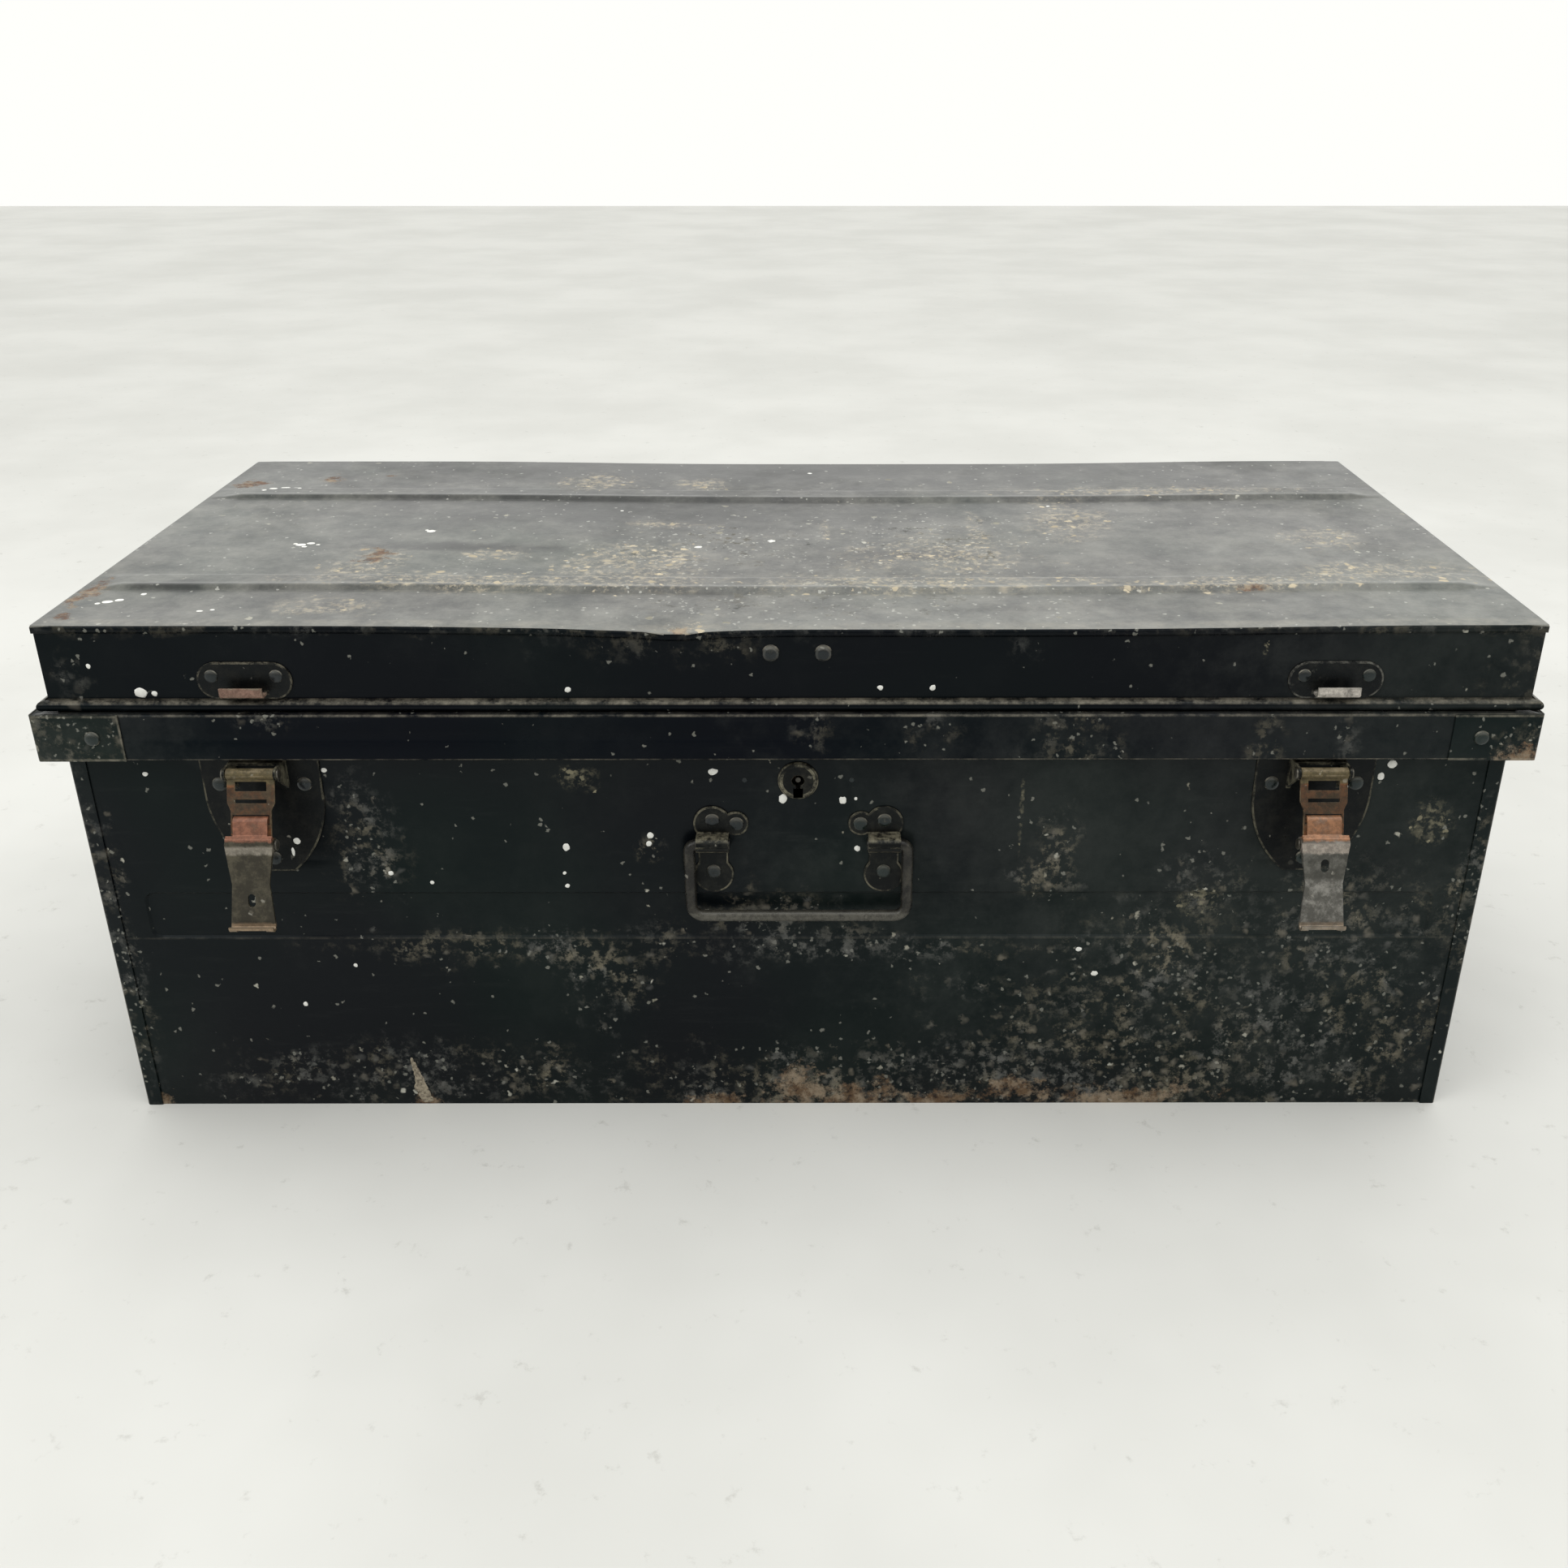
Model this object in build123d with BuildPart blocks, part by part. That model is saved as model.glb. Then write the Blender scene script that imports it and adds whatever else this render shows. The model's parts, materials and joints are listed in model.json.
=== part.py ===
from build123d import *
import os
from math import cos, radians, sin

# Small tin trunk: a sheet-steel box with a lipped rim, a hinged lid with a wired edge, two draw
# latches hanging open, a box lock, and a bail handle on the front and on each end.
# Millimetres. X runs along the trunk, the front faces -Y, Z is up, and the origin is at the
# middle of the base, on the floor.

os.makedirs("parts", exist_ok=True)

# --- driving sizes: body ---------------------------------------------------------------------
sheet = 0.8                  # tinplate thickness, used for every panel
body_length = 760.0          # over the two end panels
body_depth = 342.0           # over the corner seams
upstand = 13.0               # the walls stand up this far inside the lid
seam_width = 9.0             # flange of an end panel lapped over the front and the back
corner_bend = 2.0            # outside bend radius of the upright corners
hem_height = 6.0             # folded top edge of the walls
pan_flange = 8.0             # upturned edge of the bottom pan, inside the walls
swage_drop = 84.0            # from the rim to the recessed band along the front and the back
swage_height = 29.5
swage_depth = 1.4
swage_corner = 6.0
swage_end_gap = 15.0         # from the seam to the end of the band

# --- driving sizes: rim ----------------------------------------------------------------------
rim_height = 26.0            # channel round the walls, whose top is the ledge under the lid
rim_proud = 9.3              # from the end panel to the face of the channel
rim_foot = 12.0              # flange of the channel against the wall
rim_bend = 1.2
corner_plate_leg = 46.0      # reach of a corner plate along each side
corner_rivet_inset = 30.0

# --- driving sizes: lid ----------------------------------------------------------------------
lid_top_height = 299.0       # flat of the lid above the floor
lid_depth = 46.0             # from the ledge to the flat of the lid
lid_gap = 2.4                # between the walls and the inside of the lid
lid_shift_x = 1.8            # the lid has worked over on its hinges, within that gap
lid_shift_y = 1.0
seat_gap = 0.3               # between the lid's bead and the ledge
bead_radius = 2.8            # wired edge, outside
wire_fit = 0.1
lid_hem = 4.0                # height of the folded edge round the top
rib_centres = (-101.0, 88.0)  # two raised ribs along the lid, from the middle of the trunk
rib_width = 28.0
rib_height = 2.2
rib_end_gap = 12.0
rib_corner = 8.0

# --- driving sizes: rivets -------------------------------------------------------------------
rivet_head = 8.0
rivet_dome = 1.8
rivet_shank = 3.6
hole_fit = 0.1               # hole over shank, on the radius
small_head = 5.6
small_shank = 2.6
tail_length = 1.0            # shank left proud on the inside

# --- driving sizes: handles ------------------------------------------------------------------
fittings_x = 5.2             # the lock and the front handle sit a little right of the middle
wire_radius = 3.15           # bail
bail_half_width = 58.9       # to the centre of an upright
bail_drop = 44.0
bail_bend = 7.0
bail_pivot_drop = 51.5       # from the rim
bail_standoff = 6.0          # bail axis from the panel
bail_pin_reach = 37.0        # inner end of a pin from the middle of the bail
bracket_spacing = 46.4       # strap from the middle of the bail
bracket_sheet = 1.0
strap_width = 17.5
strap_wall = 1.1
pin_fit = 0.08               # running clearance of every pin, on the radius
lower_lobe_radius = 10.8
lower_lobe_drop = 21.0
upper_lobe_radius = 10.2
upper_lobe_rise = 10.0
side_lobe_radius = 7.0
side_lobe_reach = 12.5
bracket_waist = 16.0

# --- driving sizes: latches ------------------------------------------------------------------
latch_inset = 100.5          # from the end of the body
pivot_drop = 5.8             # base pin of a latch below the rim
pivot_proud = 13.0           # base pin from the face of the corner seams
link_length = 37.0
link_lean = 22.5             # hanging link, outward from straight down
lever_lean = 15.0            # hanging lever, outward from straight down
link_sheet = 1.4
link_width = 24.6
link_foot_width = 21.0
link_eye_radius = 3.0
pin_radius = 1.6
pin_head_radius = 2.9
pin_head_length = 1.0
side_fit = 0.4               # end play of a link or a lever on its pin
lug_sheet = 1.2
lug_radius = 3.5
lug_root = 14.0              # root of a lug below its pin
base_width = 63.0            # shield-shaped base plate
base_height = 67.5
base_square = 24.5           # depth of its square head
base_waist = 48.5            # depth of the middle of its curved sides
base_foot = 20.0             # width of its foot
base_top_gap = 2.5           # below the rim
base_rivet_x = 22.5
base_rivet_drop = 15.0       # below the top of the plate
base_foot_rivet_drop = 59.5
lever_sheet = 1.3
lever_length = 42.0
lever_standoff = 4.0         # lever's inner face from its pin
lever_width = 24.4
lever_lip = 26.6
lip_radius = 2.2
cheek_drop = 11.0
tongue_width = 18.0
tongue_reach = 12.0
tongue_fit = 0.45            # tongue lies this far off the hanging link
curl_radius = 2.5
hook_stub = 1.0              # straight end of the hook
window_gap = 0.6             # round the hook in the link's window
lever_holes = {-1: 28.5, 1: 10.5}   # drop of the finger hole, left and right latch

# --- driving sizes: keepers, lock and hinges ---------------------------------------------------
keeper_rise = 16.4           # middle of a keeper above the ledge
keeper_length = 48.7
keeper_height = 20.0
keeper_sheet = 1.2
keeper_rivet_x = 16.6
keeper_rivet_rise = 19.0
hook_width = 22.0
hook_rise = 10.0             # middle of the hook's shelf above the ledge
hook_tip_rise = 15.0
hook_proud = 11.3            # outside of the hook from the face of the corner seams
lock_drop = 16.0             # keyhole below the rim
lock_width = 48.0
lock_height = 42.0
lock_below = 13.0            # foot of the case below the keyhole
lock_depth = 11.0
lock_wall = 1.0
lock_tab = 9.0
lock_tab_height = 12.0
escutcheon_radius = 10.8
escutcheon_thick = 1.5
key_radius = 3.4
key_slot = 2.6
key_drop = 8.5
drill_pin_radius = 1.5
staple_rivet_rise = 31.0     # dome rivets of the lock staple above the ledge
staple_rivet_x = 13.4
staple_width = 40.0
staple_sheet = 1.5
staple_head = 8.0            # staple above and beside its rivets
staple_inset = 4.6           # neck of the staple from the inside of the front wall
staple_neck = 16.0
staple_bend = 2.0
fin_height = 14.0            # hook turned back from the tip of the neck
fin_sheet = 2.0
bolt_rise = 20.0             # bolt above the keyhole
bolt_plate = 14.5
bolt_plate_height = 19.0
bolt_finger = 5.2
bolt_tip = 6.4               # length of the finger past the plate
bolt_side_gap = 0.5
key_notch = 4.0
bolt_thick = 3.4
bolt_gap = 0.6               # behind the bolt and the staple, inside the case
hinge_inset = 150.0          # from the end of the body
hinge_width = 52.0
hinge_sheet = 1.2
hinge_axis_drop = 3.5        # below the ledge
knuckle_radius = 3.0
hinge_pin_radius = 1.5
hinge_foot_gap = 2.0         # below the body leaf, on the rim's face
hinge_leaf_rise = 39.0       # top of the lid leaf above the ledge
hinge_body_rivet_rise = 10.5
hinge_lid_rivet_rise = 27.0
hinge_crank = 5.0
lid_knuckle = 20.0
knuckle_gap = 0.4

# --- places worked out from them -------------------------------------------------------------
rim_top = lid_top_height - lid_depth        # the ledge
rim_low = rim_top - rim_height
wall_top = rim_top + upstand
swage_z = rim_low - swage_drop - swage_height / 2
end_face = body_length / 2
seam_face = body_depth / 2
panel_face = seam_face - sheet              # front and back panels, under the corner seams
rim_face_x = end_face + rim_proud
rim_face_y = seam_face + rim_proud
lid_in_x = end_face + lid_gap
lid_in_y = seam_face + lid_gap
lid_out_x = lid_in_x + sheet
lid_out_y = lid_in_y + sheet
bead_z = rim_top + seat_gap + bead_radius
lid_front = lid_out_y - lid_shift_y         # distance of the lid's faces from the middle
lid_back = lid_out_y + lid_shift_y
bail_pivot_z = rim_low - bail_pivot_drop
bail_low_z = bail_pivot_z - bail_drop
latch_x = end_face - latch_inset
pivot_z = rim_low - pivot_drop
base_top_z = rim_low - base_top_gap
base_low_z = base_top_z - base_height
keeper_x = latch_x + 0.5                    # from the middle of the lid
keeper_z = rim_top + keeper_rise
keeper_rivet_z = rim_top + keeper_rivet_rise
hook_low_z = rim_top + hook_rise
hook_tip_z = rim_top + hook_tip_rise
lock_z = rim_low - lock_drop
lock_low = lock_z - lock_below
lock_high = lock_low + lock_height
bolt_z = lock_z + bolt_rise
staple_z = rim_top + staple_rivet_rise
staple_tip_z = bolt_z - fin_height / 2
hinge_x = end_face - hinge_inset
hinge_axis_z = rim_top - hinge_axis_drop
hinge_axis_y = rim_face_y + knuckle_gap + knuckle_radius
lid_shift = Location((lid_shift_x, lid_shift_y, 0))
NORMALS = {"front": (0, -1, 0), "back": (0, 1, 0), "left": (-1, 0, 0), "right": (1, 0, 0)}


def facing(side, reach):
    """Upright plane facing out of one side, reach from the middle: local x along it, local y up."""
    nx, ny, nz = NORMALS[side]
    return Plane(origin=(nx * reach, ny * reach, 0), x_dir=(-ny, nx, 0), z_dir=(nx, ny, nz))


def section(side, reach, along=0.0):
    """Upright plane across one side: local x points out from reach, local y is up."""
    nx, ny, nz = NORMALS[side]
    foot = (nx * reach - ny * along, ny * reach + nx * along, 0)
    return Plane(origin=foot, x_dir=(nx, ny, nz), z_dir=(ny, -nx, 0))


def rivet(head, dome, shank, grip):
    """One rivet: the head stands on the XY plane and the shank runs down through the sheets."""
    with BuildPart() as piece:
        with BuildSketch(Plane.XZ):
            with BuildLine():
                Polyline((0, dome), (0, -grip), (shank / 2, -grip), (shank / 2, 0), (head / 2, 0))
                Polyline((head / 2, 0), (head * 0.45, dome * 0.5), (head * 0.28, dome * 0.88), (0, dome))
            make_face()
        revolve(axis=Axis.Z)
    return piece.part


def rivets(name, master, places):
    """A set of equal rivets as one node, each at its own plane, head outward."""
    with BuildPart() as group:
        for plane, x, z in places:
            with Locations(plane.location * Pos(x, z, 0)):
                add(master)
    group.part.label = name
    export_step(group.part, f"parts/{name}.step")


def punches(places, shank, depth):
    """Round punches for the rivet holes, from just proud of the surface to depth inside it."""
    with BuildPart() as group:
        for plane, x, z in places:
            with BuildSketch(plane.offset(2)):
                with Locations((x, z)):
                    Circle(shank / 2 + hole_fit)
            extrude(amount=-depth - 2)
    return group.part


def keyhole(plane, depth):
    """Punch for the keyhole: a round eye with a slot below it."""
    with BuildPart() as punch:
        with BuildSketch(plane.offset(1)):
            with Locations((fittings_x, lock_z)):
                Circle(key_radius)
            with Locations((fittings_x, lock_z - key_drop / 2)):
                Rectangle(key_slot, key_drop)
        extrude(amount=-depth - 1)
    return punch.part


def save(builder, name):
    builder.part.label = name
    export_step(builder.part, f"parts/{name}.step")


# --- where the rivets go ---------------------------------------------------------------------
front = facing("front", panel_face)
bracket_rivet_spots = ((0, -lower_lobe_drop + 2.0), (0, upper_lobe_rise + 2.0),
                       (side_lobe_reach + 0.5, upper_lobe_rise))
bracket_seats = {
    "front": (front, fittings_x),
    "left": (facing("left", end_face), 0.0),
    "right": (facing("right", end_face), 0.0),
}


def bracket_places(side):
    """Rivet places of the two brackets of one bail, whose side lobes point at each other."""
    plane, middle = bracket_seats[side]
    return [(plane, middle + hand * (bracket_spacing - x), bail_pivot_z + z)
            for hand in (-1, 1) for x, z in bracket_rivet_spots]


latch_rivet_spots = ((-base_rivet_x, base_rivet_drop), (base_rivet_x, base_rivet_drop),
                     (0, base_foot_rivet_drop))
latch_places = [(front, hand * latch_x + x, base_top_z - drop)
                for hand in (-1, 1) for x, drop in latch_rivet_spots]
lock_places = [(front, fittings_x + hand * (lock_width / 2 + lock_tab / 2), lock_z) for hand in (-1, 1)]
corner_places = []
for side, reach, half in (("front", rim_face_y, rim_face_x), ("back", rim_face_y, rim_face_x),
                          ("left", rim_face_x, rim_face_y), ("right", rim_face_x, rim_face_y)):
    for hand in (-1, 1):
        corner_places.append((facing(side, reach), hand * (half - corner_rivet_inset),
                              (rim_low + rim_top) / 2))
hinge_body_places = [(facing("back", rim_face_y), hand * hinge_x + dx, rim_low + hinge_body_rivet_rise)
                     for hand in (-1, 1) for dx in (-hinge_width / 3, hinge_width / 3)]
hinge_lid_places = [(facing("back", lid_back), hand * hinge_x + dx, rim_top + hinge_lid_rivet_rise)
                    for hand in (-1, 1) for dx in (-hinge_width / 3, hinge_width / 3)]
keeper_places = [(facing("front", lid_front), lid_shift_x + hand * keeper_x + dx, keeper_rivet_z)
                 for hand in (-1, 1) for dx in (-keeper_rivet_x, keeper_rivet_x)]
staple_places = [(facing("front", lid_front), fittings_x + hand * staple_rivet_x, staple_z)
                 for hand in (-1, 1)]


# --- body: wall panels, end panels and bottom ------------------------------------------------
def wall_panel(side):
    """Front or back: hemmed flat sheet with the long recessed band pressed into it."""
    face = facing(side, panel_face)
    length = body_length - 2 * corner_bend
    band = (body_length - 2 * (seam_width + swage_end_gap), swage_height)
    with BuildPart() as panel:
        with BuildSketch(face):
            with Locations((0, wall_top / 2)):
                Rectangle(length, wall_top)
        extrude(amount=-sheet)
        with BuildSketch(face.offset(-sheet)):
            with Locations((0, wall_top - hem_height / 2)):
                Rectangle(length, hem_height)
        extrude(amount=-sheet)
        with BuildSketch(face.offset(-sheet)):
            with Locations((0, swage_z)):
                RectangleRounded(*band, radius=swage_corner)
        extrude(amount=-swage_depth, taper=45)
        with BuildSketch(face):
            with Locations((0, swage_z)):
                RectangleRounded(*band, radius=swage_corner)
        extrude(amount=-swage_depth, taper=45, mode=Mode.SUBTRACT)
        if side == "front":
            add(punches(bracket_places("front") + latch_places, rivet_shank, sheet + 1), mode=Mode.SUBTRACT)
            add(punches(lock_places, small_shank, sheet + 1), mode=Mode.SUBTRACT)
            add(keyhole(face, sheet + 1), mode=Mode.SUBTRACT)
    save(panel, f"{side}_panel")


wall_panel("front")
wall_panel("back")


def end_panel(side):
    """End of the body: flat sheet with seam flanges round both corners, stopped under the rim."""
    nx = NORMALS[side][0]
    with BuildPart() as panel:
        with BuildSketch():
            RectangleRounded(body_length, body_depth, radius=corner_bend)
            RectangleRounded(body_length - 2 * sheet, body_depth - 2 * sheet,
                             radius=corner_bend - sheet, mode=Mode.SUBTRACT)
            with Locations((-nx * seam_width, 0)):
                Rectangle(body_length, body_depth, mode=Mode.SUBTRACT)
        extrude(amount=wall_top)
        # hem along the top, between the hems of the front and the back
        with BuildSketch(facing(side, end_face - sheet)):
            with Locations((0, wall_top - hem_height / 2)):
                Rectangle(2 * (panel_face - 2 * sheet), hem_height)
        extrude(amount=-sheet)
        # the rim closes over plain walls, so the seam flanges stop beneath it
        for hand in (-1, 1):
            with BuildSketch(Plane.XY.offset(rim_low)):
                with Locations((nx * end_face, hand * (panel_face + sheet))):
                    Rectangle(2 * (seam_width + sheet), 2 * sheet)
            extrude(amount=wall_top - rim_low, mode=Mode.SUBTRACT)
        add(punches(bracket_places(side), rivet_shank, sheet + 1), mode=Mode.SUBTRACT)
    save(panel, f"{side}_end_panel")


end_panel("left")
end_panel("right")

with BuildPart() as bottom_pan:
    with BuildSketch():
        RectangleRounded(body_length - 2 * sheet, 2 * (panel_face - sheet), radius=corner_bend + sheet)
    extrude(amount=pan_flange)
    offset(amount=-sheet, openings=bottom_pan.faces().sort_by(Axis.Z)[-1])
save(bottom_pan, "bottom_pan")


# --- rim: four channel strips mitred at the corners, and the corner plates over the joints ----
def mitre(side, hand, out_x, out_y):
    """Plane through one upright corner at 45 degrees; its back holds the named side's strip."""
    nx, ny, _ = NORMALS[side]
    if ny:
        return Plane(origin=(hand * out_x, ny * out_y, 0), z_dir=(hand, -ny, 0))
    return Plane(origin=(nx * out_x, hand * out_y, 0), z_dir=(-nx, hand, 0))


def rim_strip(side):
    """Channel closed by the wall: ledge, face, underside and a foot against the wall."""
    flat = side in ("front", "back")
    seat = panel_face if flat else end_face
    depth = (rim_face_y if flat else rim_face_x) - seat
    half = rim_face_x if flat else rim_face_y
    height = rim_top - rim_low
    with BuildPart() as strip:
        with BuildSketch(section(side, seat)):
            with Locations((depth / 2, rim_low + height / 2)):
                Rectangle(depth, height)
        extrude(amount=half, both=True)
        fillet(strip.edges().filter_by(Axis.X if flat else Axis.Y)
               .group_by(Axis.Y if flat else Axis.X)[0 if sum(NORMALS[side]) < 0 else -1], rim_bend)
        with BuildSketch(section(side, seat)):
            with Locations((depth / 2 - sheet / 2, rim_low + height / 2)):
                RectangleRounded(depth - sheet, height - 2 * sheet, radius=rim_bend - sheet)
            with Locations((sheet / 2, rim_low + height / 2)):
                Rectangle(sheet, height - 2 * sheet)
        extrude(amount=half, both=True, mode=Mode.SUBTRACT)
        with BuildSketch(section(side, seat)):
            with Locations((sheet / 2, rim_low + rim_foot / 2)):
                Rectangle(sheet, rim_foot)
        extrude(amount=half, both=True)
        split(bisect_by=mitre(side, -1, rim_face_x, rim_face_y), keep=Keep.BOTTOM)
        split(bisect_by=mitre(side, 1, rim_face_x, rim_face_y), keep=Keep.BOTTOM)
        add(punches(corner_places, rivet_shank, 3 * sheet), mode=Mode.SUBTRACT)
        if side == "back":
            add(punches(hinge_body_places, rivet_shank, 3 * sheet), mode=Mode.SUBTRACT)
    save(strip, f"rim_{side}")


for side in NORMALS:
    rim_strip(side)

for end, hand_y in (("front", -1), ("back", 1)):
    for side, hand_x in (("left", -1), ("right", 1)):
        with BuildPart() as corner_plate:
            with BuildSketch(Plane.XY.offset(rim_low)):
                RectangleRounded(2 * (rim_face_x + sheet), 2 * (rim_face_y + sheet), radius=rim_bend + sheet)
                Rectangle(2 * rim_face_x, 2 * rim_face_y, mode=Mode.SUBTRACT)
                with Locations((hand_x * (rim_face_x + sheet), hand_y * (rim_face_y + sheet))):
                    Rectangle(2 * corner_plate_leg, 2 * corner_plate_leg, mode=Mode.INTERSECT)
            extrude(amount=rim_top - rim_low)
            add(punches(corner_places, rivet_shank, 3 * sheet), mode=Mode.SUBTRACT)
        save(corner_plate, f"corner_plate_{end}_{side}")

corner_rivet = rivet(rivet_head, rivet_dome, rivet_shank, 2 * sheet + tail_length)
rivets("corner_plate_rivets", corner_rivet,
       [(plane.offset(sheet), x, z) for plane, x, z in corner_places])


# --- handles ---------------------------------------------------------------------------------
def bracket(side, hand, name):
    """Clover-shaped plate with a strap pressed over the bail's pin."""
    plane, middle = bracket_seats[side]
    seat = middle + hand * bracket_spacing
    with BuildPart() as piece:
        with BuildSketch(plane):
            with Locations((seat, bail_pivot_z - lower_lobe_drop)):
                Circle(lower_lobe_radius)
            with Locations((seat, bail_pivot_z + upper_lobe_rise)):
                Circle(upper_lobe_radius)
            with Locations((seat - hand * side_lobe_reach, bail_pivot_z + upper_lobe_rise)):
                Circle(side_lobe_radius)
            with Locations((seat, bail_pivot_z - (lower_lobe_drop - upper_lobe_rise) / 2)):
                Rectangle(bracket_waist, lower_lobe_drop + upper_lobe_rise)
        extrude(amount=bracket_sheet)
        reach = abs(plane.origin.X + plane.origin.Y)
        strap_section = section(side, reach, seat)
        bore = wire_radius + pin_fit
        with BuildSketch(strap_section):
            with Locations((bail_standoff, bail_pivot_z)):
                Circle(bore + strap_wall)
            with Locations((bracket_sheet + (bail_standoff - bracket_sheet) / 2, bail_pivot_z)):
                Rectangle(bail_standoff - bracket_sheet, 2 * (bore + strap_wall))
            with Locations((bail_standoff, bail_pivot_z)):
                Circle(bore, mode=Mode.SUBTRACT)
            with Locations((bracket_sheet + (bail_standoff - bracket_sheet) / 2, bail_pivot_z)):
                Rectangle(bail_standoff - bracket_sheet, 2 * bore, mode=Mode.SUBTRACT)
        extrude(amount=strap_width / 2, both=True)
        add(punches(bracket_places(side), rivet_shank, 3 * bracket_sheet), mode=Mode.SUBTRACT)
    save(piece, name)


def bail(side, name):
    """Bent wire handle: a U with its two ends turned inward as pins."""
    plane, middle = bracket_seats[side]
    with BuildPart() as piece:
        with BuildLine(plane.offset(bail_standoff)) as path:
            FilletPolyline(
                (middle - bail_pin_reach, bail_pivot_z),
                (middle - bail_half_width, bail_pivot_z),
                (middle - bail_half_width, bail_low_z),
                (middle + bail_half_width, bail_low_z),
                (middle + bail_half_width, bail_pivot_z),
                (middle + bail_pin_reach, bail_pivot_z),
                radius=[wire_radius + 0.8, bail_bend, bail_bend, wire_radius + 0.8],
            )
        with BuildSketch(Plane(origin=path.line @ 0, z_dir=path.line % 0)):
            Circle(wire_radius)
        sweep()
    save(piece, name)


for side, hands in (("front", ("left", "right")), ("left", ("back", "front")), ("right", ("front", "back"))):
    prefix = "front_handle" if side == "front" else f"{side}_end_handle"
    for hand, hand_name in zip((-1, 1), hands):
        bracket(side, hand, f"{prefix}_bracket_{hand_name}")
    bail(side, f"{prefix}_bail")

bracket_rivet = rivet(rivet_head, rivet_dome, rivet_shank, bracket_sheet + sheet + tail_length)
rivets("front_handle_rivets", bracket_rivet,
       [(plane.offset(bracket_sheet), x, z) for plane, x, z in bracket_places("front")])
rivets("end_handle_rivets", bracket_rivet,
       [(plane.offset(bracket_sheet), x, z)
        for plane, x, z in bracket_places("left") + bracket_places("right")])


# --- latches ---------------------------------------------------------------------------------
pivot_y = -(seam_face + pivot_proud)
knuckle_y = pivot_y - link_length * sin(radians(link_lean))
knuckle_z = pivot_z - link_length * cos(radians(link_lean))
lug_gap = link_width / 2 + side_fit
ear_gap = link_foot_width / 2 + side_fit


def leaning(x, y, z, lean):
    """Plane across a latch through one of its pins: local x is outward, local y is back up the
    hanging piece, which leans outward by lean degrees."""
    out = (0, -cos(radians(lean)), sin(radians(lean)))
    return Plane(origin=(x, y, z), x_dir=out, z_dir=(-1, 0, 0))


def latch_base(hand, name):
    """Shield-shaped plate with two lugs for the base pin, bridged at the top."""
    x = hand * latch_x
    depth = -pivot_y - panel_face
    with BuildPart() as piece:
        with BuildSketch(front):
            with BuildLine():
                half = base_width / 2
                foot = base_foot / 2
                square_z = base_top_z - base_square
                waist_z = base_top_z - base_waist
                Polyline((x - half, square_z), (x - half, base_top_z),
                         (x + half, base_top_z), (x + half, square_z))
                ThreePointArc((x + half, square_z), (x + half * 0.80, waist_z), (x + foot, base_low_z))
                Line((x + foot, base_low_z), (x - foot, base_low_z))
                ThreePointArc((x - foot, base_low_z), (x - half * 0.80, waist_z), (x - half, square_z))
            make_face()
        extrude(amount=bracket_sheet)
        for side in (-1, 1):
            with BuildSketch(section("front", panel_face, x + side * (lug_gap + lug_sheet / 2))):
                with BuildLine():
                    Polyline((bracket_sheet, pivot_z - lug_root), (bracket_sheet, pivot_z + lug_radius),
                             (depth, pivot_z + lug_radius))
                    ThreePointArc((depth, pivot_z + lug_radius), (depth + lug_radius, pivot_z),
                                  (depth, pivot_z - lug_radius))
                    Line((depth, pivot_z - lug_radius), (bracket_sheet, pivot_z - lug_root))
                make_face()
                with Locations((depth, pivot_z)):
                    Circle(pin_radius + 0.02, mode=Mode.SUBTRACT)
            extrude(amount=lug_sheet / 2, both=True)
        with BuildSketch(section("front", panel_face, x)):
            with Locations((depth / 2 - 1.5, pivot_z + lug_radius - 0.6)):
                Rectangle(depth / 2 - 1.0, lug_sheet)
        extrude(amount=lug_gap, both=True)
        add(punches(latch_places, rivet_shank, 3 * bracket_sheet), mode=Mode.SUBTRACT)
    save(piece, name)


def latch_pin(x, y, z, half, name):
    """Headed pin through the two lugs, or through the two ears of a lever."""
    with BuildPart() as piece:
        with BuildSketch(Plane(origin=(x, y, z), z_dir=(1, 0, 0))):
            Circle(pin_radius)
        extrude(amount=half, both=True)
        for side in (-1, 1):
            with BuildSketch(Plane(origin=(x + side * half, y, z), z_dir=(side, 0, 0))):
                Circle(pin_head_radius)
            extrude(amount=pin_head_length)
    save(piece, name)


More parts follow.
